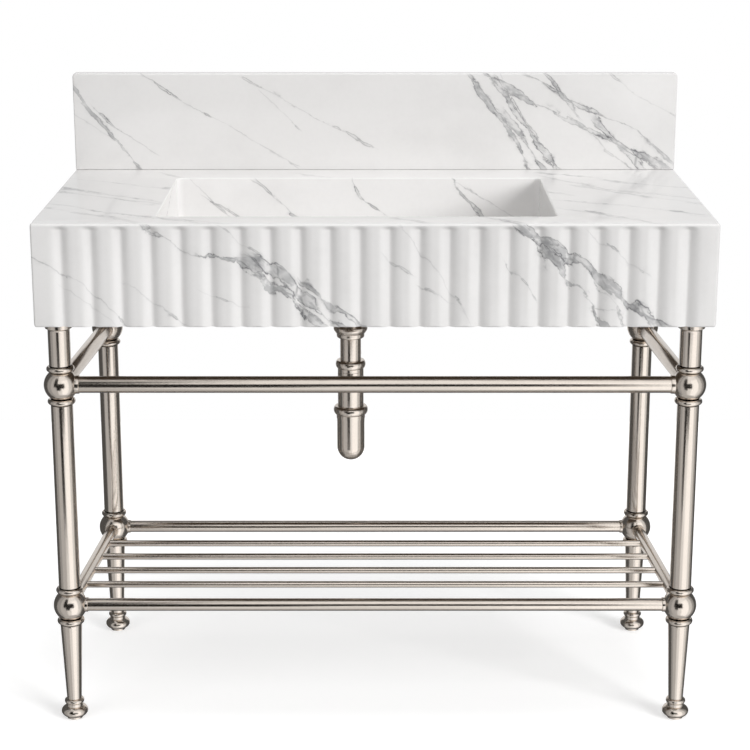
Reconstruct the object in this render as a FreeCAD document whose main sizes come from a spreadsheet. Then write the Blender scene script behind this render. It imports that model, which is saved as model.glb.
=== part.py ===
import FreeCAD, Part
import Sketcher
import math
import os
import re

# Console sink: a reeded stone top with an inset basin, on a turned metal stand with a slatted shelf.
# X runs along the front, Y from the front to the wall, Z up from the floor. Millimetres throughout.

STONE = {
    "stone_width": 1150,
    "stone_depth": 540,
    "counter_height": 915,
    "apron_height": 178,
    "slab_thickness": 20,
    "front_thickness": 30,
    "side_thickness": 20,
    "rear_thickness": 20,
    "splash_height": 185,
    "splash_thickness": 20,
    "splash_corner": 7,
    "arris_radius": 4,
    "splash_arris": 2.5,
    "reed_margin": 50,
    "reed_pitch": 50,
    "reed_depth": 8.5,
    "crest_flat": 5,
}
BASIN = {
    "basin_length": 680,
    "basin_width": 365,
    "basin_setback": 65,
    "basin_offset": -31,
    "basin_corner": 12,
    "rim_radius": 2.5,
    "floor_ledge": 14,
    "floor_fall": 8,
    "drain_pan": 100,
    "drain_shift": -13.5,
    "bowl_wall": 20,
    "bowl_floor": 22,
    "bowl_clearance": 15,
}
CARCASS = {
    "panel_thickness": 18,
    "panel_hole_radius": 50,
    "block_size": 60,
}
LEGS = {
    "front_leg_inset": 34,
    "front_leg_setback": 45,
    "rear_leg_inset": 27,
    "rear_leg_setback": 101,
    "leg_radius": 19,
    "leg_wall": 2,
    "upper_ball_drop": 113,
    "lower_ball_height": 217,
    "ball_radius": 29.5,
    "bead_stand": 5.25,
    "bead_radius": 5.5,
    "bead_lip": 0.5,
    "spigot_length": 12,
    "spigot_relief": 2,
    "flange_lip": 4.2,
    "flange_thickness": 11,
    "flange_cove": 5,
    "cap_thickness": 20,
    "leg_stud_radius": 5,
    "cap_cover": 5,
    "stud_cover": 4,
    "ankle_radius": 13,
    "foot_radius": 23.8,
    "bun_radius": 13,
    "foot_core": 14,
    "foot_lip": 0.5,
    "neck_reach": 17.8,
    "neck_radius": 5,
    "foot_stud_radius": 5,
    "foot_stud_length": 28,
}
RAILS = {
    "upper_rail_radius": 14.5,
    "lower_rail_radius": 11.3,
    "rail_wall": 1.5,
    "seat_wall": 2.5,
    "collar_rise": 1.5,
    "collar_stand": 2,
    "bar_radius": 6,
    "bar_spacing": 69,
    "bar_count": 4,
    "bar_stop": 2,
}
DRAIN = {
    "waste_flange_radius": 32,
    "waste_flange_thickness": 3,
    "waste_radius": 20,
    "waste_wall": 2.5,
    "waste_length": 120,
    "waste_hole_gap": 1,
    "gasket_thickness": 4,
    "lock_nut_radius": 30,
    "lock_nut_height": 12,
    "hub_radius": 8,
    "hub_height": 10,
    "hub_drop": 20,
    "bridge_width": 5,
    "stopper_radius": 29,
    "stopper_rim": 3,
    "stopper_crown": 2.5,
    "stopper_top_radius": 14,
    "stem_radius": 4,
    "stem_length": 36,
    "outlet_lap": 4,
    "outlet_wall": 11,
    "outlet_height": 12,
    "outlet_step_wall": 6.4,
    "outlet_step_height": 9,
    "tail_radius": 19,
    "tail_wall": 1.5,
    "tail_length": 106,
}
TRAP = {
    "inlet_drop": 60,
    "inlet_nut_wall": 5.3,
    "inlet_nut_height": 20,
    "inlet_nut_lip": 4,
    "inlet_nut_ease": 4,
    "neck_wall": 3,
    "trap_step": 4.7,
    "trap_wall": 2.5,
    "trap_body_height": 80.5,
    "ring_wall": 7.8,
    "ring_lap": 14,
    "ring_height": 23,
    "ring_ease": 5,
    "seal_thickness": 2.5,
    "cup_step": 1.8,
    "cup_wall": 3,
    "cup_length": 62,
    "boss_wall": 4,
    "boss_length": 40,
    "boss_gap": 2,
    "arm_radius": 14,
    "arm_wall": 2,
    "arm_seat": 24,
    "wall_flange_width": 3.3,
    "wall_flange_thickness": 8,
}
FITS = {
    "fit_gap": 0.05,
    "running_gap": 0.1,
    "clear_gap": 0.3,
    "overrun": 5,
}
GROUPS = (STONE, BASIN, CARCASS, LEGS, RAILS, DRAIN, TRAP, FITS)
SIZES = {name: number for group in GROUPS for name, number in group.items()}

doc = FreeCAD.newDocument("console_sink")
sheet = doc.addObject("Spreadsheet::Sheet", "Sizes")
for row, (name, number) in enumerate(SIZES.items(), 1):
    sheet.set(f"A{row}", name)
    sheet.set(f"B{row}", str(number))
    sheet.setAlias(f"B{row}", name)
doc.recompute()

# Places that several pieces share, written in the sheet's names.
FRONT = "(-stone_depth / 2)"
WALL = "(stone_depth / 2)"
UNDERSIDE = "(counter_height - apron_height)"
SLAB_UNDER = "(counter_height - slab_thickness)"
PANEL_TOP = f"({UNDERSIDE} + panel_thickness)"
BASIN_Y = f"({FRONT} + basin_setback + basin_width / 2)"
BOWL_UNDER = f"({PANEL_TOP} + bowl_clearance)"
PAN = f"({BOWL_UNDER} + bowl_floor)"
FLOOR = f"({PAN} + floor_fall)"
DRAIN_X = "(basin_offset + drain_shift)"
WASTE_END = f"({PAN} - waste_length)"
WASTE_BORE = "(waste_radius - waste_wall)"
NUT_TOP = f"({WASTE_END} - inlet_drop)"
BODY_TOP = f"({NUT_TOP} - inlet_nut_height)"
BODY_END = f"({BODY_TOP} - trap_body_height)"
CUP_TOP = f"({BODY_END} - clear_gap - seal_thickness)"
NECK_RADIUS = "(tail_radius + neck_wall)"
TRAP_RADIUS = "(tail_radius + trap_step)"
CUP_RADIUS = f"({TRAP_RADIUS} + cup_step)"
BOSS_RADIUS = "(arm_radius + boss_wall)"
ARM_Z = f"({BODY_END} + ring_lap + {BOSS_RADIUS} + boss_gap)"
LEG_BORE = "(leg_radius - leg_wall)"
FLANGE_RADIUS = "(leg_radius + flange_lip)"
BEAD_REACH = "(leg_radius + bead_stand)"
BALL_REACH = "(ball_radius + bead_radius + bead_lip)"
UPPER_BALL = f"({UNDERSIDE} - upper_ball_drop)"
LOWER_BALL = "lower_ball_height"
RAIL_SEAT = "(upper_rail_radius + seat_wall)"
STUD_GRIP = "(cap_thickness - cap_cover)"
STUD_BITE = "(panel_thickness - stud_cover)"
REED_COUNT = "round((stone_width - 2 * reed_margin) / reed_pitch)"
FRONT_Y = f"({FRONT} + front_leg_setback)"
REAR_Y = f"({WALL} - rear_leg_setback)"
LEG_SPAN = f"({REAR_Y} - {FRONT_Y})"
FRONT_X = "(stone_width / 2 - front_leg_inset)"
REAR_X = f"({FRONT_X} - rear_leg_inset)"
SIDE_ANGLE = f"atan(rear_leg_inset / {LEG_SPAN})"
SIDE_LENGTH = f"hypot(rear_leg_inset; {LEG_SPAN})"
FOOT_TOP = "(2 * bun_radius + 2 * neck_radius + 3 * foot_lip)"
QUARTER_TURN = "90"
SIDES = {"left": -1, "right": 1}
RINGS = {
    "upper": (UPPER_BALL, "upper_rail_radius"),
    "lower": (LOWER_BALL, "lower_rail_radius"),
}
# The upper ring is open at the rear, where the trap's arm runs to the wall.
OPEN_REAR = "upper"
CORNERS = {
    "front_left": (-1, FRONT_X, FRONT_Y, -1),
    "front_right": (1, FRONT_X, FRONT_Y, -1),
    "rear_left": (-1, REAR_X, REAR_Y, 1),
    "rear_right": (1, REAR_X, REAR_Y, 1),
}
nodes = []


def linked(text):
    """An expression with every sheet name turned into a reference to its cell."""
    return re.sub(r"[a-z]\w*", lambda word: f"Sizes.{word[0]}" if word[0] in SIZES else word[0], str(text))


def value(text):
    """The number that an expression in the sheet's names has now."""
    result = sheet.evalExpression(linked(text))
    return float(getattr(result, "Value", result))


def bind(item, **sizes):
    """Ties properties of an object to expressions in the sheet's names."""
    for prop, text in sizes.items():
        item.setExpression(prop, linked(text))
    return item


def place(item, x=0, y=0, z=0, yaw=0, pitch=0, roll=0):
    """Puts an object at a point, turned by yaw, pitch and roll, all as expressions."""
    text = f"placement(vector({x}; {y}; {z}); rotation({yaw}; {pitch}; {roll}))"
    item.setExpression("Placement", linked(text))
    return item


def box(name, length, width, height, x, y, z):
    """A block centred on x and y, standing on z."""
    item = bind(doc.addObject("Part::Box", name), Length=length, Width=width, Height=height)
    return place(item, f"{x} - ({length}) / 2", f"{y} - ({width}) / 2", z)


def rod(name, radius, height, **spot):
    """A solid round bar along its own Z."""
    item = bind(doc.addObject("Part::Cylinder", name), Radius=radius, Height=height)
    return place(item, **spot)


def cone(name, low_radius, high_radius, height, **spot):
    """A round bar that tapers from its lower to its upper radius."""
    item = bind(doc.addObject("Part::Cone", name), Radius1=low_radius, Radius2=high_radius, Height=height)
    return place(item, **spot)


def ball(name, radius, **spot):
    """A sphere."""
    return place(bind(doc.addObject("Part::Sphere", name), Radius=radius), **spot)


def bead(name, reach, radius, **spot):
    """A round moulding about Z that reaches out to a given radius."""
    item = bind(doc.addObject("Part::Torus", name), Radius1=f"{reach} - {radius}", Radius2=radius)
    return place(item, **spot)


def bun(name, reach, radius, **spot):
    """A flattened ball: its reach across, and its radius up and down."""
    item = bind(doc.addObject("Part::Ellipsoid", name), Radius1=radius, Radius2=reach, Radius3=reach)
    return place(item, **spot)


def join(name, *pieces):
    """The union of several shapes."""
    item = doc.addObject("Part::MultiFuse", name)
    item.Shapes = list(pieces)
    return item


def cut(name, base, *tools):
    """A shape with one or more others taken away."""
    item = doc.addObject("Part::Cut", name)
    item.Base = base
    item.Tool = tools[0] if len(tools) == 1 else join(f"{name}_cutter", *tools)
    return item


def group(name, pieces):
    """Separate like solids kept as one sub-part."""
    item = doc.addObject("Part::Compound", name)
    item.Links = list(pieces)
    return item


def tube(name, radius, wall, height, **spot):
    """A round tube along its own Z, open at both ends."""
    outer = rod(f"{name}_outer", radius, height)
    bore = rod(f"{name}_bore", f"{radius} - {wall}", f"{height} + 2 * overrun", z="-overrun")
    return place(cut(name, outer, bore), **spot)


def ring(name, radius, bore_radius, height, z):
    """A flat ring about Z, standing on z."""
    outer = rod(f"{name}_outer", radius, height, z=z)
    bore = rod(f"{name}_bore", bore_radius, f"{height} + 2 * overrun", z=f"{z} - overrun")
    return cut(name, outer, bore)


def rounded(name, base, radius, wanted):
    """The base with a fillet on each edge that the test picks."""
    doc.recompute()
    size = value(radius)
    item = doc.addObject("Part::Fillet", name)
    item.Base = base
    item.Edges = [(i, size, size) for i, edge in enumerate(base.Shape.Edges, 1) if wanted(edge)]
    return item


def along(edge, axis):
    """Whether an edge runs straight along X, Y or Z."""
    first, last = edge.Vertexes[0].Point, edge.Vertexes[-1].Point
    run = last - first
    return run.Length > 0 and abs(getattr(run, axis)) > run.Length * (1 - Part.Precision.confusion())


def lies(edge, axis, text):
    """Whether a whole edge lies in the plane where one coordinate has the value given."""
    level = value(text)
    near = Part.Precision.confusion() * SIZES["stone_width"]
    return all(abs(getattr(vertex.Point, axis) - level) < near for vertex in edge.Vertexes)


def node(item, label):
    """Keeps an object as a sub-part under its own label."""
    item.Label = label
    nodes.append(item)
    return item


def measure(sketch, text, kind, *places):
    """Adds a dimension to a sketch and ties it to an expression."""
    index = sketch.addConstraint(Sketcher.Constraint(kind, *places, value(text)))
    sketch.setExpression(f"Constraints[{index}]", linked(text))


def on_plane(body, name):
    """A sketch on the body's own XY plane."""
    sketch = body.newObject("Sketcher::SketchObject", name)
    plane = next(item for item in body.Origin.OriginFeatures if item.Role == "XY_Plane")
    sketch.AttachmentSupport = (plane, [""])
    sketch.MapMode = "FlatFace"
    return sketch


def tie(sketch, kind, *places):
    """Adds a constraint that has no dimension."""
    sketch.addConstraint(Sketcher.Constraint(kind, *places))


def front_apron():
    """A stone front: a padded slab with eased edges and a row of valleys that leaves rounded reeds."""
    body = doc.addObject("PartDesign::Body", "front_apron_body")
    plan = on_plane(body, "front_plan")
    half_width, half_depth = value("stone_width / 2"), value("front_thickness / 2")
    corners = [(x * half_width, y * half_depth) for x, y in ((-1, -1), (1, -1), (1, 1), (-1, 1))]
    for start, end in zip(corners, corners[1:] + corners[:1]):
        plan.addGeometry(Part.LineSegment(FreeCAD.Vector(*start), FreeCAD.Vector(*end)))
    for side in range(4):
        tie(plan, "Coincident", side, 2, (side + 1) % 4, 1)
        tie(plan, "Vertical" if side % 2 else "Horizontal", side)
    tie(plan, "Symmetric", 0, 1, 1, 2, -1, 1)
    measure(plan, "stone_width", "DistanceX", 0, 1, 0, 2)
    measure(plan, "front_thickness", "DistanceY", 1, 1, 1, 2)
    pad = body.newObject("PartDesign::Pad", "front_pad")
    pad.Profile = plan
    bind(pad, Length="apron_height")
    doc.recompute()

    ease = body.newObject("PartDesign::Fillet", "front_ease")
    face_y = "-front_thickness / 2"
    picked = []
    for index, edge in enumerate(pad.Shape.Edges, 1):
        at_end = lies(edge, "x", "stone_width / 2") or lies(edge, "x", "-stone_width / 2")
        if lies(edge, "y", face_y) or (at_end and along(edge, "y")):
            picked.append(f"Edge{index}")
    ease.Base = (pad, picked)
    bind(ease, Radius="arris_radius")
    doc.recompute()

    half_valley = "(reed_pitch - crest_flat) / 2"
    sink = "((reed_pitch / 2) ^ 2 - (crest_flat / 2) ^ 2 + reed_depth ^ 2) / (2 * reed_depth)"
    radius = f"hypot(crest_flat / 2; {sink})"
    reach, deep, centre, size = value(half_valley), value("reed_depth"), value(sink), value(radius)
    half_pitch, out = value("reed_pitch / 2"), value("overrun")
    valley = on_plane(body, "valley")
    spot = {"AttachmentOffset.Base.x": f"-{REED_COUNT} * reed_pitch / 2", "AttachmentOffset.Base.y": face_y}
    bind(valley, **spot)
    for side, ends in ((-1, ((-reach, 0), (0, deep))), (1, ((0, deep), (reach, 0)))):
        middle = FreeCAD.Vector(side * half_pitch, centre)
        angles = [math.atan2(y - centre, x - side * half_pitch) for x, y in ends]
        valley.addGeometry(Part.ArcOfCircle(Part.Circle(middle, FreeCAD.Vector(0, 0, 1), size), *angles))
    rim = [(reach, 0), (reach, -out), (-reach, -out), (-reach, 0)]
    for start, end in zip(rim, rim[1:]):
        valley.addGeometry(Part.LineSegment(FreeCAD.Vector(*start), FreeCAD.Vector(*end)))
    for first, second in ((0, 1), (1, 2), (2, 3), (3, 4), (4, 0)):
        tie(valley, "Coincident", first, 2, second, 1)
    for side, kind in ((2, "Vertical"), (3, "Horizontal"), (4, "Vertical")):
        tie(valley, kind, side)
    tie(valley, "PointOnObject", 0, 2, -2)
    tie(valley, "PointOnObject", 0, 1, -1)
    tie(valley, "PointOnObject", 1, 2, -1)
    tie(valley, "Equal", 0, 1)
    measure(valley, "reed_depth", "DistanceY", -1, 1, 0, 2)
    measure(valley, half_valley, "DistanceX", 0, 1, -1, 1)
    measure(valley, half_valley, "DistanceX", -1, 1, 1, 2)
    measure(valley, radius, "Radius", 0)
    measure(valley, "overrun", "DistanceY", 2, 2, 2, 1)
    pocket = body.newObject("PartDesign::Pocket", "valley_cut")
    pocket.Profile = valley
    pocket.Type = "ThroughAll"
    pocket.Reversed = True
    doc.recompute()

    row = body.newObject("PartDesign::LinearPattern", "valley_row")
    row.Originals = [pocket]
    row.Direction = (next(item for item in body.Origin.OriginFeatures if item.Role == "X_Axis"), [""])
    bind(row, Length=f"{REED_COUNT} * reed_pitch", Occurrences=f"{REED_COUNT} + 1")
    body.Tip = row
    doc.recompute()
    if not row.Shape.Volume < pocket.Shape.Volume < ease.Shape.Volume:
        raise RuntimeError("the valleys of the stone front cut nothing")
    place(body, y=f"{FRONT} + front_thickness / 2", z=UNDERSIDE)
    node(body, "front_apron")


def stone_shell():
    """The flat stone slabs: top with its basin cut-out, side and rear aprons, and backsplash."""
    depth = "(stone_depth - front_thickness)"
    top = box("top_block", "stone_width", depth, "slab_thickness", 0, "front_thickness / 2", SLAB_UNDER)
    cut_height = "slab_thickness + 2 * overrun"
    hole = box("basin_hole", "basin_length", "basin_width", cut_height, "basin_offset", BASIN_Y,
               f"{SLAB_UNDER} - overrun")
    hole = rounded("basin_hole_round", hole, "basin_corner", lambda edge: along(edge, "z"))
    top = cut("top_cut", top, hole)

    def eased(edge):
        """The cut-out's upper rim and the top's two upper side edges."""
        if not lies(edge, "z", "counter_height"):
            return False
        at_side = lies(edge, "x", "stone_width / 2") or lies(edge, "x", "-stone_width / 2")
        at_back = lies(edge, "y", WALL) or lies(edge, "y", f"{FRONT} + front_thickness")
        return not at_side and not at_back

    node(rounded("top_ease", top, "rim_radius", eased), "top_slab")

    height = "(apron_height - slab_thickness)"
    inner = "(stone_depth - front_thickness - rear_thickness)"
    middle = "((front_thickness - rear_thickness) / 2)"
    for label, side in SIDES.items():
        across = f"{side} * (stone_width - side_thickness) / 2"
        side_slab = box(f"{label}_block", "side_thickness", inner, height, across, middle, UNDERSIDE)
        node(side_slab, f"{label}_apron")
    back = f"{WALL} - rear_thickness / 2"
    node(box("rear_block", "stone_width", "rear_thickness", height, 0, back, UNDERSIDE), "rear_apron")

    splash = box("splash_block", "stone_width", "splash_thickness", "splash_height", 0,
                 f"{WALL} - splash_thickness / 2", "counter_height")
    crown = "counter_height + splash_height"
    splash = rounded("splash_corners", splash, "splash_corner",
                     lambda edge: along(edge, "y") and lies(edge, "z", crown))
    face = f"{WALL} - splash_thickness"
    node(rounded("splash_ease", splash, "splash_arris",
                 lambda edge: lies(edge, "y", face) and not lies(edge, "z", "counter_height")), "backsplash")


def basin_bowl():
    """The stone bowl under the cut-out: rounded inner corners and a floor that falls to the drain."""
    height = f"({SLAB_UNDER} - {BOWL_UNDER})"
    outer = box("bowl_block", "basin_length + 2 * bowl_wall", "basin_width + 2 * bowl_wall", height,
                "basin_offset", BASIN_Y, BOWL_UNDER)
    inner_height = f"({SLAB_UNDER} - {FLOOR} + overrun)"
    inner = box("bowl_space", "basin_length", "basin_width", inner_height, "basin_offset", BASIN_Y, FLOOR)
    inner = rounded("bowl_space_round", inner, "basin_corner",
                    lambda edge: along(edge, "z") or lies(edge, "z", FLOOR))
    fall = doc.addObject("Part::Wedge", "bowl_fall")
    bind(fall, Ymin=0, Ymax="floor_fall")
    bind(fall, Xmin="drain_shift - drain_pan / 2", Xmax="drain_shift + drain_pan / 2")
    bind(fall, Zmin="-drain_pan / 2", Zmax="drain_pan / 2")
    bind(fall, X2min="floor_ledge - basin_length / 2", X2max="basin_length / 2 - floor_ledge")
    bind(fall, Z2min="floor_ledge - basin_width / 2", Z2max="basin_width / 2 - floor_ledge")
    place(fall, "basin_offset", BASIN_Y, PAN, roll=QUARTER_TURN)
    hole = rod("bowl_hole", "waste_radius + waste_hole_gap", "bowl_floor + 2 * overrun",
               x=DRAIN_X, y=BASIN_Y, z=f"{BOWL_UNDER} - overrun")
    recess = rod("bowl_recess", "waste_flange_radius + clear_gap", "waste_flange_thickness + overrun",
                 x=DRAIN_X, y=BASIN_Y, z=f"{PAN} - waste_flange_thickness")
    node(cut("bowl_cut", outer, inner, fall, hole, recess), "basin_bowl")


def carcass():
    """The panel that closes the underside and takes the legs, and the blocks that carry the top on it."""
    length = "(stone_width - 2 * side_thickness)"
    width = "(stone_depth - front_thickness - rear_thickness)"
    middle = "((front_thickness - rear_thickness) / 2)"
    panel = box("panel_board", length, width, "panel_thickness", 0, middle, UNDERSIDE)
    tools = [rod("panel_hole", "panel_hole_radius", "panel_thickness + 2 * overrun", x=DRAIN_X, y=BASIN_Y,
                 z=f"{UNDERSIDE} - overrun")]
    studs = []
    blocks = []
    for label, (side, across, deep, end) in CORNERS.items():
        spot = {"x": f"{side} * {across}", "y": deep}
        tools.append(rod(f"{label}_panel_socket", "leg_stud_radius + fit_gap", f"{STUD_BITE} + overrun",
                         z=f"{UNDERSIDE} - overrun", **spot))
        studs.append(rod(f"{label}_stud", "leg_stud_radius", f"{STUD_GRIP} + {STUD_BITE}",
                         z=f"{UNDERSIDE} - {STUD_GRIP}", **spot))
        block_x = f"{side} * ({length} - block_size) / 2"
        block_y = f"{middle} + {end} * ({width} - block_size) / 2"
        blocks.append(box(f"{label}_block", "block_size", "block_size", f"{SLAB_UNDER} - {PANEL_TOP}",
                          block_x, block_y, PANEL_TOP))
    node(cut("panel_cut", panel, *tools), "underside_panel")
    node(group("block_set", blocks), "corner_blocks")
    node(group("stud_set", studs), "leg_studs")


def has_long_rail(level, end):
    """Whether a ring has a long rail at this end of the stand, the rear being 1."""
    return level != OPEN_REAR or end < 0


def sockets(name, level, side, end):
    """The blind holes in a ball that take the ends of a side rail and, where there is one, a long rail."""
    height, rail_radius = RINGS[level]
    radius = f"{rail_radius} + fit_gap"
    depth = f"(ball_radius - {RAIL_SEAT} + overrun)"
    turn = f"{side} * {SIDE_ANGLE}"
    yield rod(f"{name}_side", radius, depth, x=f"{end} * sin({turn}) * {RAIL_SEAT}",
              y=f"{-end} * cos({turn}) * {RAIL_SEAT}", z=height, yaw=turn, roll=f"{end} * {QUARTER_TURN}")
    if has_long_rail(level, end):
        yield rod(f"{name}_long", radius, depth, x=f"{-side} * {RAIL_SEAT}", z=height,
                  pitch=f"{-side} * {QUARTER_TURN}")


def turned_ball(label, level, side, end):
    """A ball with a bead above and below it, a spigot into each tube and a socket for each rail."""
    name = f"{label}_{level}"
    height = RINGS[level][0]
    reach = BALL_REACH
    core = rod(f"{name}_core", "leg_radius", f"2 * {reach}", z=f"{height} - {reach}")
    spigot = rod(f"{name}_spigot", f"{LEG_BORE} - fit_gap", f"2 * ({reach} + spigot_length)",
                 z=f"{height} - {reach} - spigot_length")
    beads = [bead(f"{name}_bead_{sign}", BEAD_REACH, "bead_radius", z=f"{height} + {step} * ball_radius")
             for sign, step in (("high", 1), ("low", -1))]
    solid = join(f"{name}_solid", ball(f"{name}_globe", "ball_radius", z=height), core, spigot, *beads)
    return cut(name, solid, *sockets(name, level, side, end))


def leg(label, side, across, deep, end):
    """One leg from the stone down: capped top, ball, tube, ball, tapered leg and levelling foot."""
    pieces = {}
    top_low = f"({UPPER_BALL} + {BALL_REACH})"
    sleeve = rod(f"{label}_sleeve", "leg_radius", f"{UNDERSIDE} - {top_low}", z=top_low)
    plate = rod(f"{label}_plate", FLANGE_RADIUS, "flange_thickness", z=f"{UNDERSIDE} - flange_thickness")
    cove = cone(f"{label}_cove", "leg_radius", FLANGE_RADIUS, "flange_cove",
                z=f"{UNDERSIDE} - flange_thickness - flange_cove")
    bore = rod(f"{label}_bore", LEG_BORE, f"{UNDERSIDE} - cap_thickness - {top_low} + overrun",
               z=f"{top_low} - overrun")
    tapped = rod(f"{label}_tapped", "leg_stud_radius + fit_gap", f"{STUD_GRIP} + overrun",
                 z=f"{UNDERSIDE} - {STUD_GRIP}")
    pieces["leg_top"] = cut(f"{label}_top", join(f"{label}_top_solid", sleeve, plate, cove), bore, tapped)

    pieces["upper_ball"] = turned_ball(label, "upper", side, end)
    tube_low = f"({LOWER_BALL} + {BALL_REACH})"
    tube_length = f"({UPPER_BALL} - {BALL_REACH} - {tube_low})"
    pieces["leg_tube"] = ring(f"{label}_tube", "leg_radius", LEG_BORE, tube_length, tube_low)
    pieces["lower_ball"] = turned_ball(label, "lower", side, end)

    ankle = f"({FOOT_TOP} + clear_gap)"
    knee = f"({LOWER_BALL} - {BALL_REACH})"
    taper = cone(f"{label}_taper", "ankle_radius", "leg_radius", f"{knee} - {ankle}", z=ankle)
    seat = rod(f"{label}_seat", LEG_BORE, "spigot_length + spigot_relief + overrun",
               z=f"{knee} - spigot_length - spigot_relief")
    thread = rod(f"{label}_thread", "foot_stud_radius + running_gap", "foot_stud_length + 2 * overrun",
                 z=f"{ankle} - overrun")
    pieces["tapered_leg"] = cut(f"{label}_tapered", taper, seat, thread)

    bun_z = "(bun_radius + foot_lip)"
    neck_z = f"({FOOT_TOP} - neck_radius - foot_lip)"
    pieces["foot"] = join(
        f"{label}_foot_solid",
        rod(f"{label}_foot_core", "foot_core", FOOT_TOP),
        bun(f"{label}_bun", "foot_radius", "bun_radius", z=bun_z),
        bead(f"{label}_neck", "neck_reach", "neck_radius", z=neck_z),
        rod(f"{label}_foot_stud", "foot_stud_radius", f"{FOOT_TOP} + foot_stud_length"))
    for part, item in pieces.items():
        place(item, f"{side} * {across}", deep)
        node(item, f"{label}_{part}")


def bar_places():
    """Each shelf bar's depth and the half length from the middle to a side rail's axis there."""
    count = SIZES["bar_count"]
    for number in range(count):
        deep = f"(({FRONT_Y} + {REAR_Y}) / 2 + ({number} - ({count} - 1) / 2) * bar_spacing)"
        half = f"({FRONT_X} - rear_leg_inset * ({deep} - {FRONT_Y}) / {LEG_SPAN})"
        yield number + 1, deep, half


def rails():
    """Two rings of round rails between the balls, and the shelf bars that join the lower side rails."""
    rows = (("front", FRONT_X, FRONT_Y, -1), ("rear", REAR_X, REAR_Y, 1))
    for level, (height, radius) in RINGS.items():
        for row, across, deep, end in rows:
            if not has_long_rail(level, end):
                continue
            item = tube(f"{level}_{row}_tube", radius, "rail_wall", f"2 * ({across} - {RAIL_SEAT})",
                        x=f"{RAIL_SEAT} - {across}", y=deep, z=height, pitch=QUARTER_TURN)
            node(item, f"{level}_{row}_rail")
        for label, side in SIDES.items():
            turn = f"({side} * {SIDE_ANGLE})"
            spot = {"x": f"{side} * {FRONT_X} - sin({turn}) * {RAIL_SEAT}",
                    "y": f"{FRONT_Y} + cos({turn}) * {RAIL_SEAT}", "z": height, "yaw": turn,
                    "roll": f"-{QUARTER_TURN}"}
            length = f"{SIDE_LENGTH} - 2 * {RAIL_SEAT}"
            item = tube(f"{level}_{label}_tube", radius, "rail_wall", length, **spot)
            if level == "lower":
                holes = [rod(f"{label}_bar_hole_{number}", "bar_radius + fit_gap", half,
                             x=0 if side > 0 else f"-{half}", y=deep, z=height, pitch=QUARTER_TURN)
                         for number, deep, half in bar_places()]
                item = cut(f"{level}_{label}_drilled", item, *holes)
            node(item, f"{level}_{label}_rail")
    for number, deep, half in bar_places():
        node(rod(f"bar_{number}", "bar_radius", f"2 * ({half} - bar_stop)", x=f"bar_stop - {half}", y=deep,
                 z=LOWER_BALL, pitch=QUARTER_TURN), f"shelf_bar_{number}")


def rail_collars():
    """A thin collar round each rail where it enters a ball, hollowed to sit on the ball."""
    collars = []
    for level, (height, radius) in RINGS.items():
        for label, (side, across, deep, end) in CORNERS.items():
            turn = f"{side} * {SIDE_ANGLE}"
            ways = {"long": {"pitch": f"{-side} * {QUARTER_TURN}"},
                    "side": {"yaw": turn, "roll": f"{end} * {QUARTER_TURN}"}}
            if not has_long_rail(level, end):
                del ways["long"]
            for way, turns in ways.items():
                name = f"{level}_{label}_{way}_collar"
                reach = "ball_radius + collar_stand"
                outer = rod(f"{name}_outer", f"{radius} + collar_rise", reach, **turns)
                bore = rod(f"{name}_bore", f"{radius} + fit_gap", f"{reach} + overrun", **turns)
                seat = ball(f"{name}_seat", "ball_radius + fit_gap")
                collars.append(place(cut(name, outer, bore, seat), f"{side} * {across}", deep, height))
    node(group("collar_set", collars), "rail_collars")


def at_drain(item, label):
    """Moves a piece that was made about Z onto the drain's axis and keeps it."""
    place(item, DRAIN_X, BASIN_Y)
    return node(item, label)


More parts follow.
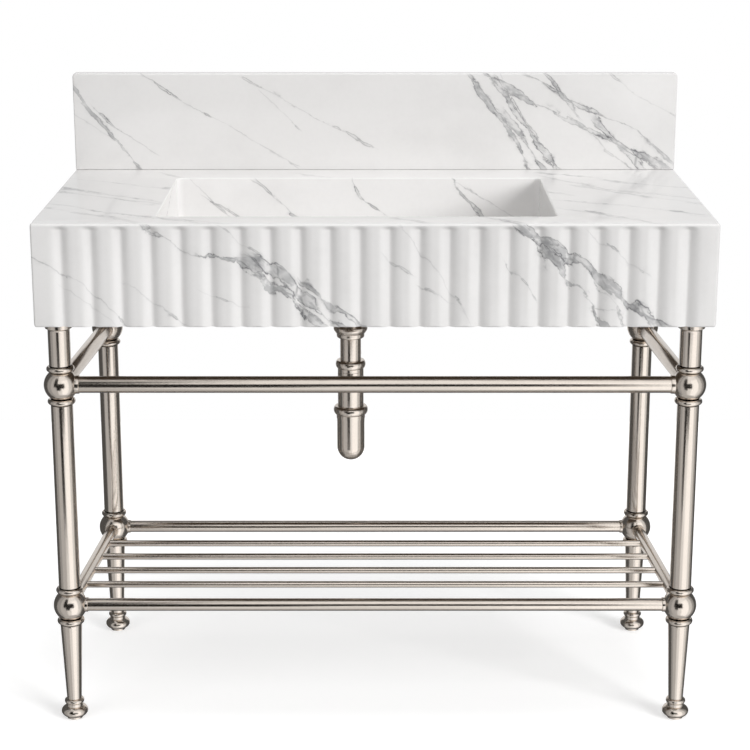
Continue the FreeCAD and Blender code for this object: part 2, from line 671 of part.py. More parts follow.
def waste():
    """The drain from the basin floor to the tailpiece, with its stopper."""
    flange_low = f"{PAN} - waste_flange_thickness"
    flange = rod("waste_flange", "waste_flange_radius", "waste_flange_thickness", z=flange_low)
    pipe = rod("waste_pipe", "waste_radius", "waste_length", z=WASTE_END)
    bore = rod("waste_bore", WASTE_BORE, "waste_length + 2 * overrun", z=f"{WASTE_END} - overrun")
    shell = cut("waste_shell", join("waste_solid", flange, pipe), bore)
    hub_low = f"({PAN} - hub_drop - hub_height)"
    hub = rod("waste_hub", "hub_radius", "hub_height", z=hub_low)
    span = f"2 * {WASTE_BORE} + waste_wall"
    bridge = box("waste_bridge", span, "bridge_width", "hub_height", 0, 0, hub_low)
    guide = rod("waste_guide", "stem_radius + running_gap", "hub_height + 2 * overrun",
                z=f"{hub_low} - overrun")
    at_drain(cut("waste_whole", join("waste_bridged", shell, hub, bridge), guide), "waste_body")

    gasket_low = f"({BOWL_UNDER} - gasket_thickness)"
    gasket = ring("gasket_ring", "waste_flange_radius", "waste_radius + fit_gap", "gasket_thickness",
                  gasket_low)
    at_drain(gasket, "waste_gasket")
    nut_low = f"({gasket_low} - lock_nut_height)"
    nut = bind(doc.addObject("Part::Prism", "lock_nut_hexagon"), Circumradius="lock_nut_radius",
               Height="lock_nut_height")
    place(nut, z=nut_low)
    nut_bore = rod("lock_nut_bore", "waste_radius + fit_gap", "lock_nut_height + 2 * overrun",
                   z=f"{nut_low} - overrun")
    at_drain(cut("lock_nut_cut", nut, nut_bore), "waste_lock_nut")

    cap_low = f"({PAN} + clear_gap)"
    cap = rod("stopper_cap", "stopper_radius", "stopper_rim", z=cap_low)
    crown = cone("stopper_dome", "stopper_radius", "stopper_top_radius", "stopper_crown",
                 z=f"{cap_low} + stopper_rim")
    stem = rod("stopper_stem", "stem_radius", "stem_length + stopper_rim", z=f"{cap_low} - stem_length")
    at_drain(join("stopper_solid", cap, crown, stem), "drain_stopper")

    step_low = f"({WASTE_END} + outlet_lap - outlet_height - outlet_step_height)"
    wide = rod("outlet_wide", "waste_radius + outlet_wall", "outlet_height",
               z=f"{step_low} + outlet_step_height")
    narrow = rod("outlet_narrow", "tail_radius + outlet_step_wall",
                 "outlet_step_height + outlet_height / 2", z=step_low)
    steps = join("outlet_steps", wide, narrow)
    upper = rod("outlet_upper_bore", "waste_radius + fit_gap", "outlet_lap + overrun", z=WASTE_END)
    lower = rod("outlet_lower_bore", "tail_radius + fit_gap",
                "outlet_height + outlet_step_height + overrun", z=f"{step_low} - overrun")
    at_drain(cut("outlet_cut", steps, upper, lower), "outlet_collar")
    tail = ring("tail_tube", "tail_radius", "tail_radius - tail_wall", "tail_length",
                f"({WASTE_END} - tail_length)")
    at_drain(tail, "tailpiece")


def trap():
    """A bottle trap: inlet nut, body with its outlet, removable ring and cup, and the arm to the wall."""
    nut_low = BODY_TOP
    below = f"{nut_low} - overrun"
    nut = rod("inlet_nut_solid", f"{NECK_RADIUS} + inlet_nut_wall", "inlet_nut_height", z=nut_low)
    nut = rounded("inlet_nut_round", nut, "inlet_nut_ease", lambda edge: not along(edge, "z"))
    mouth = rod("inlet_nut_mouth", "tail_radius + fit_gap", "inlet_nut_height + 2 * overrun", z=below)
    thread = rod("inlet_nut_thread", f"{NECK_RADIUS} + fit_gap",
                 "inlet_nut_height - inlet_nut_lip + overrun", z=below)
    at_drain(cut("inlet_nut_cut", nut, mouth, thread), "inlet_nut")

    barrel = rod("trap_barrel", TRAP_RADIUS, "trap_body_height", z=BODY_END)
    neck_height = "(inlet_nut_height - inlet_nut_lip)"
    neck = rod("trap_neck", NECK_RADIUS, f"trap_body_height + {neck_height}", z=BODY_END)
    boss = rod("trap_boss", BOSS_RADIUS, "boss_length", z=ARM_Z, roll=f"-{QUARTER_TURN}")
    cavity = rod("trap_cavity", f"{TRAP_RADIUS} - trap_wall", "trap_body_height - trap_wall + overrun",
                 z=f"{BODY_END} - overrun")
    inlet = rod("trap_inlet", "tail_radius + fit_gap", f"trap_body_height + {neck_height} + overrun",
                z=BODY_END)
    way = rod("trap_way", "arm_radius - arm_wall", "boss_length", z=ARM_Z, roll=f"-{QUARTER_TURN}")
    seat = rod("trap_seat", "arm_radius + fit_gap", "boss_length", y="arm_seat", z=ARM_Z,
               roll=f"-{QUARTER_TURN}")
    at_drain(cut("trap_shell", join("trap_solid", barrel, neck, boss), cavity, inlet, way, seat), "trap_body")

    ring_low = f"({BODY_END} + ring_lap - ring_height)"
    hoop = rod("ring_solid", f"{TRAP_RADIUS} + ring_wall", "ring_height", z=ring_low)
    hoop = rounded("ring_round", hoop, "ring_ease", lambda edge: not along(edge, "z"))
    upper = rod("ring_upper_bore", f"{TRAP_RADIUS} + clear_gap", "ring_height + overrun", z=CUP_TOP)
    lower = rod("ring_lower_bore", f"{CUP_RADIUS} + fit_gap", f"{CUP_TOP} - {ring_low} + overrun",
                z=f"{ring_low} - overrun")
    at_drain(cut("ring_cut", hoop, upper, lower), "trap_ring")
    seal = ring("seal_ring", TRAP_RADIUS, f"{TRAP_RADIUS} - trap_wall", "seal_thickness", CUP_TOP)
    at_drain(seal, "cup_seal")

    centre = f"({CUP_TOP} - cup_length)"
    solid = join("cup_solid", rod("cup_wall_solid", CUP_RADIUS, "cup_length", z=centre),
                 ball("cup_end", CUP_RADIUS, z=centre))
    inside = f"{CUP_RADIUS} - cup_wall"
    hollow = join("cup_hollow", rod("cup_wall_hollow", inside, "cup_length + overrun", z=centre),
                  ball("cup_end_hollow", inside, z=centre))
    at_drain(cut("cup_cut", solid, hollow), "trap_cup")

    arm_length = f"({WALL} - {BASIN_Y} - arm_seat)"
    arm = tube("arm_tube", "arm_radius", "arm_wall", arm_length, x=DRAIN_X, y=f"{BASIN_Y} + arm_seat",
               z=ARM_Z, roll=f"-{QUARTER_TURN}")
    node(arm, "trap_arm")
    rose = tube("rose_ring", "arm_radius + wall_flange_width", "(wall_flange_width - fit_gap)",
                "wall_flange_thickness", x=DRAIN_X, y=f"{WALL} - wall_flange_thickness", z=ARM_Z,
                roll=f"-{QUARTER_TURN}")
    node(rose, "wall_flange")


front_apron()
stone_shell()
basin_bowl()
carcass()
for label, corner in CORNERS.items():
    leg(label, *corner)
rails()
rail_collars()
waste()
trap()
doc.recompute()

failed = [item.Name for item in doc.Objects if {"Invalid", "Error"} & set(item.State)]
if failed:
    raise RuntimeError(f"these objects failed: {failed}")
for item in nodes:
    if item.Shape.isNull() or not item.Shape.isValid() or not item.Shape.Solids:
        raise RuntimeError(f"{item.Label} has no sound solid")

os.makedirs("parts", exist_ok=True)
for item in nodes:
    item.Shape.exportStep(f"parts/{item.Label}.step")
    print(f"{item.Label}: {len(item.Shape.Solids)} solids, {item.Shape.Volume / 1000:.1f} cm3")
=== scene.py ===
from collections import namedtuple

import bpy
import numpy as np
from bpy.props import FloatProperty, FloatVectorProperty, IntProperty, PointerProperty
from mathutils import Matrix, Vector


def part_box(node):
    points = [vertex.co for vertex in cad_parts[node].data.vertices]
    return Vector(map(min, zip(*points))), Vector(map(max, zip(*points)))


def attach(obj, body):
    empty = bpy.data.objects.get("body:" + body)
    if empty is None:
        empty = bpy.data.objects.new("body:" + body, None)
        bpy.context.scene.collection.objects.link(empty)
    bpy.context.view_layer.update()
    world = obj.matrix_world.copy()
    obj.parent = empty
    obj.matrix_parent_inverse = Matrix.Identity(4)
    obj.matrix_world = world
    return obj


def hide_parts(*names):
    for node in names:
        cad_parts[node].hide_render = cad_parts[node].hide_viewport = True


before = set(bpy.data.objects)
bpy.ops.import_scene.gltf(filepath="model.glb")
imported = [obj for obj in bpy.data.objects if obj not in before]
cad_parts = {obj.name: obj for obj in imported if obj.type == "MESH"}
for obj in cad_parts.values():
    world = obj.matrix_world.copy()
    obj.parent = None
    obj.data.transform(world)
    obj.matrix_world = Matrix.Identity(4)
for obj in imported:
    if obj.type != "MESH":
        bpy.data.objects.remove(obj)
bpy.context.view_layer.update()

bl_info = {
    "name": "Console Sink",
    "version": (1, 0, 0),
    "blender": (4, 5, 0),
    "location": "View3D > Sidebar > Console Sink",
    "description": "Builds a stone console sink on a metal stand, with its trap and a plain studio",
    "category": "Object",
}

CORNERS = ("front_left", "front_right", "rear_left", "rear_right")
# The rails at each level, and the two corners that a rail runs between.
RAIL_WAYS = {"upper": ("front", "left", "right"), "lower": ("front", "rear", "left", "right")}
RAIL_ENDS = {"front": CORNERS[:2], "rear": CORNERS[2:], "left": CORNERS[::2], "right": CORNERS[1::2]}
BAR_COUNT = 4
# The sides in x and y on which a rectangle's corners lie, counter-clockwise.
CORNER_SIGNS = np.array([(1, -1), (1, 1), (-1, 1), (-1, -1)])
FULL_TURN = 2 * np.pi
TURN_COUNT = 64  # samples round a turned piece
TUBE_COUNT = 48  # samples round a thin tube
ARC_COUNT = 9  # samples along a rounded corner
SIDE_COUNT = 24  # samples along the side between two corners
EDGE_COUNT = 7  # samples over a small edge
BALL_COUNT = 33  # samples along a joint ball
BUN_COUNT = 25  # samples along the bun of a foot or the cup of the trap
BULGE_COUNT = 17  # samples along the bulge of a ring
CROWN_COUNT = 15  # samples along the stopper's crown
REED_SAMPLES = 20  # samples across a reed
FADE_SAMPLES = 5  # samples up the end of a reed's valley
FRONT_SAMPLES = 8  # samples over an edge of the front
CARD_COUNT = 25  # samples along the edge of a card that the metal reflects
FINE_EDGE = 0.0004  # rounding of edges that hardly show, in metres
LEG_EDGE = 0.0005  # rounding at the lower end of a leg's top
SOFT_EDGE = 0.0006  # rounding of flanges, bars and stud ends
COLLAR_EDGE = 0.0007  # rounding of a rail collar's edges
TINY = 1e-9  # shortest length of an edge, in metres
EASE_SHARE = 0.48  # largest share of an edge that a rounding takes
# Roundings of the corners of the outlet collar, the trap's body and the wall flange, in metres.
COLLAR_EASES = (FINE_EDGE, 0.004, 0.002, 0.002, 0.002, 0.0008, FINE_EDGE)
BARREL_EASES = (FINE_EDGE, SOFT_EDGE, 0.001, FINE_EDGE, FINE_EDGE, FINE_EDGE)
ROSE_EASES = (FINE_EDGE, 0.002, 0.0015, FINE_EDGE, FINE_EDGE)
METAL_CREASE = 35  # degrees past which an edge of the metal stays sharp
STONE_CREASE = 40  # degrees past which an edge of the stone stays sharp
STONE_LEAN = np.radians(38)  # how far the stone's noise leans across a face
STONE_DRAW = 0.4  # share of its scale along the lean, which draws it out
FIELD_COUNT = 4  # fields of noise that the veins share
SWELL = 1.3  # how far a field of noise swells a vein
FINE_SPREAD = 0.5  # veins that wander by less than this share swell with finer noise
GREY_SOFT = 0.02  # how soft the edge of a vein's grey is
OPEN_WIDTH = 0.1  # half width at which a vein's lines are at their darkest
CLOSED_INK = 0.42  # how dark its lines are where it is closed
STRETCH_END = 0.012  # length over which a stretch of a vein ends, in metres
# The inputs for two colours and the output for a colour of a Mix node.
MIX_FIRST, MIX_SECOND, MIX_RESULT = 6, 7, 2

# A kind of vein: how far it wanders and how wide its lines are as shares of the widest, how dark its
# lines are, how grey it is between them, and how readily it opens into a ribbon.
Kind = namedtuple("Kind", "spread_share width_share ink_share grey_share open_share")

KINDS = {
    "heavy": Kind(0.9, 1.0, 1.0, 0.85, 0.14),
    "middle": Kind(0.6, 0.9, 0.9, 0.75, 0.08),
    "light": Kind(0.38, 0.75, 0.9, 0.42, -0.03),
    "faint": Kind(0.36, 0.75, 0.6, 0.25, -0.05),
    "long": Kind(1.3, 3.6, 0.66, 0.42, 0.0),
    "pale": Kind(1.2, 3.4, 0.42, 0.28, -0.02),
}

# Veins: the kind, and the points it runs through as shares across and down the face it was seen on.
SPLASH_VEINS = (
    ("middle", (0.0, 0.10), (0.02, 0.31), (0.07, 0.69), (0.11, 1.0)),
    ("light", (0.03, 0.32), (0.065, 0.55), (0.14, 0.84)),
    ("faint", (0.0, 0.43), (0.07, 0.69)),
    ("light", (0.11, 0.0), (0.18, 0.295), (0.255, 0.535), (0.37, 0.97)),
    ("faint", (0.28, 0.04), (0.35, 0.285), (0.5, 0.77)),
    ("faint", (0.31, 0.18), (0.375, 0.57)),
    ("heavy", (0.655, 0.03), (0.71, 0.445), (0.74, 0.70), (0.76, 1.0)),
    ("heavy", (0.695, 0.06), (0.725, 0.32), (0.785, 0.85), (0.805, 1.0)),
    ("heavy", (0.68, 0.0), (0.745, 0.25), (0.865, 0.595), (0.99, 0.99)),
    ("middle", (0.75, 0.0), (0.81, 0.21), (0.84, 0.465)),
    ("middle", (0.78, 0.0), (0.815, 0.25), (0.935, 0.585), (0.995, 0.93)),
    ("heavy", (0.865, 0.47), (0.905, 0.72), (0.945, 1.0)),
    ("light", (0.865, 0.63), (0.885, 0.81), (0.93, 1.0)),
    ("light", (0.708, 0.0), (0.745, 0.46), (0.785, 0.8)),
    ("heavy", (0.712, 0.4), (0.752, 0.68), (0.782, 1.0)),
    ("faint", (0.89, 0.0), (0.935, 0.23), (1.0, 0.445)),
)

FRONT_VEINS = (
    ("middle", (0.165, 0.0), (0.235, 0.285), (0.31, 0.335)),
    ("heavy", (0.31, 0.335), (0.344, 0.55), (0.388, 0.76), (0.432, 1.0)),
    ("heavy", (0.322, 0.3), (0.368, 0.48), (0.397, 0.69), (0.447, 1.0)),
    ("middle", (0.395, 0.56), (0.418, 0.69), (0.49, 1.0)),
    ("faint", (0.27, 0.0), (0.335, 0.29)),
    ("faint", (0.145, 0.6), (0.2, 0.86), (0.235, 1.0)),
    ("faint", (0.245, 0.64), (0.315, 0.81)),
    ("heavy", (0.71, 0.0), (0.765, 0.215), (0.835, 0.55)),
    ("heavy", (0.835, 0.55), (0.865, 0.73), (0.925, 1.0)),
    ("heavy", (0.75, 0.2), (0.775, 0.445), (0.81, 0.73), (0.845, 1.0)),
    ("middle", (0.835, 0.57), (0.85, 0.73), (0.875, 1.0)),
    ("light", (0.82, 0.81), (0.855, 0.83)),
    ("faint", (0.81, 0.06), (0.857, 0.306), (0.9, 0.5)),
    ("light", (0.0, 0.3), (0.08, 0.6), (0.145, 1.0)),
    ("faint", (0.04, 0.575), (0.1, 0.85), (0.125, 1.0)),
    ("faint", (0.515, 0.305), (0.557, 0.5)),
    ("faint", (0.538, 0.03), (0.596, 0.466), (0.642, 0.98)),
    ("faint", (0.571, 0.6), (0.617, 0.77)),
    ("faint", (0.69, 0.35), (0.745, 0.75)),
)

TOP_VEINS = (
    ("long", (0.0, 0.375), (0.06, 0.468), (0.178, 0.663)),
    ("long", (0.0, 0.45), (0.066, 0.548), (0.175, 0.68)),
    ("long", (0.0, 0.654), (0.096, 0.813), (0.174, 0.902), (0.29, 1.0)),
    ("pale", (0.0, 0.739), (0.086, 0.861), (0.15, 0.98)),
    ("pale", (0.0, 0.21), (0.106, 0.328), (0.176, 0.412)),
    ("pale", (0.14, 0.088), (0.183, 0.2)),
    ("long", (0.77, 0.1), (0.845, 0.18), (0.925, 0.333), (1.0, 0.395)),
    ("long", (0.767, 0.155), (0.862, 0.417), (0.961, 0.529), (1.0, 0.6)),
    ("pale", (0.817, 0.333), (0.909, 0.529), (1.0, 0.68)),
    ("long", (0.772, 0.608), (0.88, 0.704), (1.0, 0.869)),
    ("long", (0.778, 0.742), (0.856, 0.876), (0.913, 1.0)),
    ("pale", (0.769, 0.468), (0.811, 0.537)),
    ("pale", (0.524, 0.908), (0.581, 0.98)),
    ("long", (0.655, 0.895), (0.71, 1.0)),
    ("pale", (0.363, 0.105), (0.434, 0.203)),
)

BOWL_VEINS = (
    ("light", (0.035, 0.03), (0.147, 0.68), (0.2, 1.0)),
    ("light", (0.07, 0.29), (0.177, 0.68)),
    ("middle", (0.21, 0.03), (0.342, 0.68), (0.4, 1.0)),
    ("light", (0.48, 0.0), (0.505, 0.325), (0.595, 0.68)),
    ("middle", (0.755, 0.0), (0.845, 0.68)),
    ("light", (0.77, 0.07), (0.937, 0.68)),
)

SIDE_VEINS = (
    ("middle", (0.0, 0.1), (0.35, 0.5), (0.7, 1.0)),
    ("light", (0.3, 0.0), (0.6, 0.45), (1.0, 0.9)),
    ("heavy", (0.62, 0.0), (0.8, 0.4), (1.0, 0.75)),
)


def length(name, description, default):
    """A size in metres, shown in the sidebar."""
    return FloatProperty(name=name, description=description, default=default, unit="LENGTH", precision=4)


def colour(name, description, default):
    """A linear colour, shown in the sidebar."""
    return FloatVectorProperty(name=name, description=description, default=default, subtype="COLOR",
                               min=0, max=1)


def measure(name, description, default, unit="NONE"):
    """A number, with a unit where it has one, shown in the sidebar."""
    return FloatProperty(name=name, description=description, default=default, unit=unit, precision=3)


class StoneSettings(bpy.types.PropertyGroup):
    """Sizes and colours of the stone top."""
    reed_count: IntProperty(name="Reeds", description="Number of reeds across the front", default=21)
    reed_pitch: length("Reed pitch", "Width of one reed", 0.05)
    reed_depth: length("Reed depth", "Depth of the valleys between reeds", 0.0085)
    reed_power: measure("Reed power", "How late a reed falls away towards its valleys", 2.3)
    crest_flat: length("Reed crest", "Width of the flat along each reed's crest", 0.005)
    reed_lip: length("Reed lip", "Height of the straight lip the valleys stop under", 0.003)
    reed_fade: length("Reed fade", "Height over which a valley rises to the lip", 0.009)
    valley: length("Valley", "Rounding of the valleys between reeds", 0.0034)
    arris: length("Front edge", "Rounding of the front's edges", 0.004)
    side_arris: length("Side edge", "Rounding of the top's two side edges", 0.003)
    rim: length("Basin rim", "Rounding of the basin's rim", 0.0025)
    basin_corner: length("Basin corner", "Rounding of the basin's inside corners", 0.012)
    bowl_wall: length("Bowl wall", "Thickness of the bowl's walls", 0.02)
    floor_height: length("Bowl floor", "Height of the basin's floor over the bowl's underside", 0.03)
    pan_height: length("Pan", "Height of the drain's pan over the bowl's underside", 0.022)
    pan_width: length("Pan width", "Width of the flat pan round the drain", 0.1)
    pan_corner: length("Pan corner", "Rounding of the pan's corners", 0.004)
    drain_shift: length("Drain shift", "How far the drain lies to the side of the bowl's middle", -0.0135)
    recess_radius: length("Recess", "Radius of the recess for the drain's flange", 0.0323)
    recess_depth: length("Recess depth", "Depth of the recess for the drain's flange", 0.003)
    hole_radius: length("Hole", "Radius of the drain hole", 0.021)
    splash_corner: length("Backsplash corner", "Rounding of the backsplash's upper corners", 0.007)
    splash_edge: length("Backsplash edge", "Rounding of the backsplash's front edge", 0.0025)
    joint: length("Joint", "Height of the fine joint under the backsplash", 0.0012)
    # A tone under 1 darkens the backsplash's stone as painted shade, so the same stone looks less lit there.
    splash_painted_shade: measure("Backsplash painted shade", "Brightness of the backsplash's stone beside the rest", 0.95)
    vein_spread: length("Vein spread", "How far a heavy vein wanders", 0.034)
    vein_width: length("Vein width", "Half width of a heavy vein's lines", 0.0011)
    ground: colour("Ground", "Colour of the pale stone", (0.80, 0.79, 0.782))
    cloud: colour("Cloud", "Colour of the soft clouds in the stone", (0.71, 0.70, 0.692))
    grey: colour("Vein grey", "Colour between a vein's edges", (0.46, 0.46, 0.463))
    ink: colour("Vein line", "Colour of a vein's dark lines", (0.16, 0.16, 0.168))


class StandSettings(bpy.types.PropertyGroup):
    """Sizes and colours of the metal stand."""
    tube_wall: length("Leg wall", "Wall of the leg tubes", 0.002)
    leg_radius: length("Leg radius", "Radius of the leg tubes", 0.019)
    cap: length("Leg cap", "Height of the solid end under the stone", 0.02)
    flange_height: length("Flange", "Height of the flange under the stone", 0.011)
    cove: length("Cove", "Height of the cove below the flange", 0.005)
    ball_radius: length("Ball radius", "Radius of the joint balls", 0.0295)
    bead_radius: length("Bead", "Section radius of the bead over and under each ball", 0.0047)
    bead_reach: length("Bead reach", "Distance of the bead's middle from the leg's axis", 0.01935)
    bead_height: length("Bead height", "Distance of the bead's middle from the ball's middle", 0.0292)
    groove_radius: length("Groove", "Radius of the groove between ball and bead", 0.0168)
    seam: length("Seam", "Depth of the fine seam between a bead and its tube", 0.002)
    # Faces this far inside the tube's surface take near-black nickel, painted shade in the seams and grooves.
    seam_edge: length("Seam edge", "How far inside the tube's surface a seam turns dark", 0.0003)
    spigot: length("Spigot", "Length of the spigot inside each tube", 0.012)
    spigot_radius: length("Spigot radius", "Radius of the spigot inside each tube", 0.01695)
    seat: length("Seat", "Depth of the tapered leg's upper bore", 0.014)
    taper_lip: length("Taper lip", "Height of the straight ring over the taper", 0.004)
    ankle: length("Ankle", "Radius of the tapered leg's lower end", 0.013)
    thread_hole: length("Thread hole", "Radius of the hole for the foot's stud", 0.0051)
    thread_depth: length("Thread depth", "Depth of the hole for the foot's stud", 0.033)
    stud_radius: length("Stud", "Radius of the foot's stud", 0.005)
    stud_length: length("Stud length", "Length of the foot's stud", 0.028)
    bun_height: length("Bun", "Half height of the bun foot", 0.013)
    bun_middle: length("Bun middle", "Height of the bun foot's widest ring", 0.0135)
    foot_base: length("Foot base", "Radius of the foot's flat base", 0.014)
    foot_collar: length("Foot collar", "Radius of the thin collar over the bun", 0.0150)
    foot_bead: length("Foot bead", "Radius of the bead over the collar", 0.0176)
    foot_bead_height: length("Foot bead height", "Half height of the bead over the collar", 0.0042)
    rail_wall: length("Rail wall", "Wall of the rails", 0.0015)
    collar_rise: length("Collar rise", "How far a collar stands over its rail", 0.0015)
    collar_sink: length("Collar sink", "How far a collar reaches into its ball", 0.002)
    collar_width: length("Collar width", "Width of the collar outside the ball", 0.0022)
    nickel: colour("Nickel", "Colour of the polished nickel", (0.80, 0.725, 0.652))
    nickel_dark: colour("Nickel shade", "Colour of the nickel where it is less bright", (0.69, 0.62, 0.552))
    # Near-black nickel for the seams and the grooves by the beads: painted shade in these hollows.
    seam_painted_shade: colour("Seam shadow", "Colour of the nickel in the seams", (0.07, 0.06, 0.05))
    seam_painted_shade_deep: colour("Tarnish shade", "Colour of the nickel deep in the seams", (0.03, 0.025, 0.02))


class DrainSettings(bpy.types.PropertyGroup):
    """Sizes of the drain and the trap, and the colours of the hidden parts."""
    pipe_wall: length("Pipe wall", "Wall of the tailpiece and the arm", 0.002)
    collar_step: length("Collar step", "Height of the outlet collar's lower ring", 0.009)
    collar_narrow: length("Collar ring", "Radius of the outlet collar's lower ring", 0.0254)
    collar_slant: length("Collar slant", "How much narrower the outlet collar is at its step", 0.0035)
    collar_band: length("Collar band", "Height of the outlet collar's widest ring", 0.006)
    nut_foot: measure("Nut foot", "Share of the slip nut's height under its bulge", 0.28)
    nut_neck: length("Nut neck", "Radius of the neck inside the slip nut", 0.022)
    barrel_radius: length("Barrel", "Radius of the trap's body", 0.0237)
    barrel_height: length("Barrel height", "Height of the trap's body", 0.0805)
    boss_radius: length("Boss", "Radius of the trap's outlet", 0.018)
    boss_length: length("Boss length", "Length of the trap's outlet", 0.04)
    boss_edge: length("Boss edge", "Rounding of the outlet's end", 0.0012)
    rose_lip: length("Flange lip", "How far the wall flange's front stands over the arm", 0.003)
    rose_edge: length("Flange edge", "Height of the wall flange's outer edge", 0.002)
    ring_foot: measure("Ring foot", "Share of the trap ring's height under its bulge", 0.32)
    ring_neck: length("Ring neck", "Radius of the trap ring's foot", 0.0263)
    ring_bore: length("Ring bore", "Radius of the ring's upper bore", 0.024)
    cup_bore: length("Cup bore", "Radius of the ring's lower bore", 0.0256)
    cup_wall: length("Cup wall", "Wall of the cup", 0.003)
    stem_radius: length("Stem", "Radius of the stopper's stem", 0.004)
    stopper_rim: length("Stopper rim", "Height of the stopper's rim", 0.003)
    stopper_crown: length("Stopper crown", "Height of the stopper's crown", 0.0025)
    board: colour("Board", "Colour of the hidden board", (0.12, 0.085, 0.055))
    board_dark: colour("Board grain", "Colour of the board's grain", (0.07, 0.048, 0.03))
    steel: colour("Steel", "Colour of the plated studs", (0.62, 0.62, 0.60))
    steel_dark: colour("Steel shade", "Colour of the plated studs where they are dull", (0.42, 0.42, 0.41))
    rubber: colour("Rubber", "Colour of the seals", (0.028, 0.028, 0.030))
    rubber_dust: colour("Rubber dust", "Colour of the dust on the seals", (0.075, 0.073, 0.070))


class StageSettings(bpy.types.PropertyGroup):
    """The camera and the lights of the studio."""
    camera_distance: length("Camera distance", "How far the camera stands in front of the middle", 3.416)
    camera_height: length("Camera height", "Height of the camera over the floor", 1.56)
    camera_tilt: measure("Camera tilt", "How far the camera looks down", float(np.radians(14.73)), "ROTATION")
    camera_lens: measure("Lens", "Focal length", 92.6, "CAMERA")
    camera_shift: measure("Shift", "Vertical shift of the lens", -0.06)
    key_power: measure("Key light", "Power of the light at the front right", 1175.0, "POWER")
    fill_power: measure("Fill light", "Power of the light at the front left", 20.0, "POWER")
    top_power: measure("Top light", "Power of the light overhead", 33.0, "POWER")
    sky: measure("Sky", "Brightness of the surroundings as a light", 0.33)
    floor: colour("Floor", "Colour of the floor", (0.80, 0.80, 0.80))
    floor_glow: measure("Floor glow", "How much the floor shines by itself far from the part", 0.66)
    # Less glow under the part darkens the floor there, a painted shadow on top of the shadow the lamps cast.
    floor_shade: measure("Floor shade", "Share of that glow under the part", 0.70)
    surround: length("Surround", "Distance of the cards that the metal reflects", 8.0)
    card: colour("Card", "Colour of the darkest cards", (0.012, 0.011, 0.010))


def both_ways(operation):
    """The plain and the reflected method of an operator."""
    return (lambda self, other: self.math(operation, self, other),
            lambda self, other: self.math(operation, other, self))


class Value:
    """A number in a shader tree. Arithmetic on it adds the Math nodes that work it out."""
    __add__, __radd__ = both_ways("ADD")
    __sub__, __rsub__ = both_ways("SUBTRACT")
    __mul__, __rmul__ = both_ways("MULTIPLY")
    __truediv__, __rtruediv__ = both_ways("DIVIDE")

    def __init__(self, graph, socket):
        self.graph = graph
        self.socket = socket

    def math(self, operation, *values):
        """The result of one Math node on the values in order."""
        return self.graph.node("ShaderNodeMath", dict(enumerate(values)), operation=operation)

    def __neg__(self):
        return self.math("MULTIPLY", self, -1)

    def __abs__(self):
        return self.math("ABSOLUTE", self)

    def larger(self, other):
        """The larger of two numbers."""
        return self.math("MAXIMUM", self, other)

    def step(self, low, high):
        """A smooth step from 0 at low to 1 at high."""
        return self.graph.node("ShaderNodeMapRange", {"Value": self, "From Min": low, "From Max": high},
                               "Result", interpolation_type="SMOOTHSTEP")


class Tree:
    """A shader tree to which nodes are added."""

    def __init__(self, tree):
        self.tree = tree

    def node(self, kind, inputs, output=0, **settings):
        """Adds a node, sets it up, feeds its inputs and gives back one of its outputs."""
        node = self.tree.nodes.new(kind)
        for name, value in settings.items():
            setattr(node, name, value)
        for key, value in inputs.items():
            self.feed(node.inputs[key], value)
        return Value(self, node.outputs[output]) if node.outputs else None

    def feed(self, socket, value):
        """Links a value to an input, or sets the input to a constant."""
        if isinstance(value, Value):
            self.tree.links.new(value.socket, socket)
        else:
            socket.default_value = value

    def seen(self):
        """1 where the camera, a reflection or a refraction looks, and 0 for plain light."""
        camera, glossy, through = (self.node("ShaderNodeLightPath", {}, f"Is {ray} Ray")
                                   for ray in ("Camera", "Glossy", "Transmission"))
        return camera.larger(glossy).larger(through)

    def vector(self, operation, *values, output="Vector"):
        """The result of one Vector Math node on the values in order."""
        return self.node("ShaderNodeVectorMath", dict(enumerate(values)), output, operation=operation)

    def dot(self, place, direction):
        """How far a place lies along a direction."""
        return self.vector("DOT_PRODUCT", place, direction, output="Value")


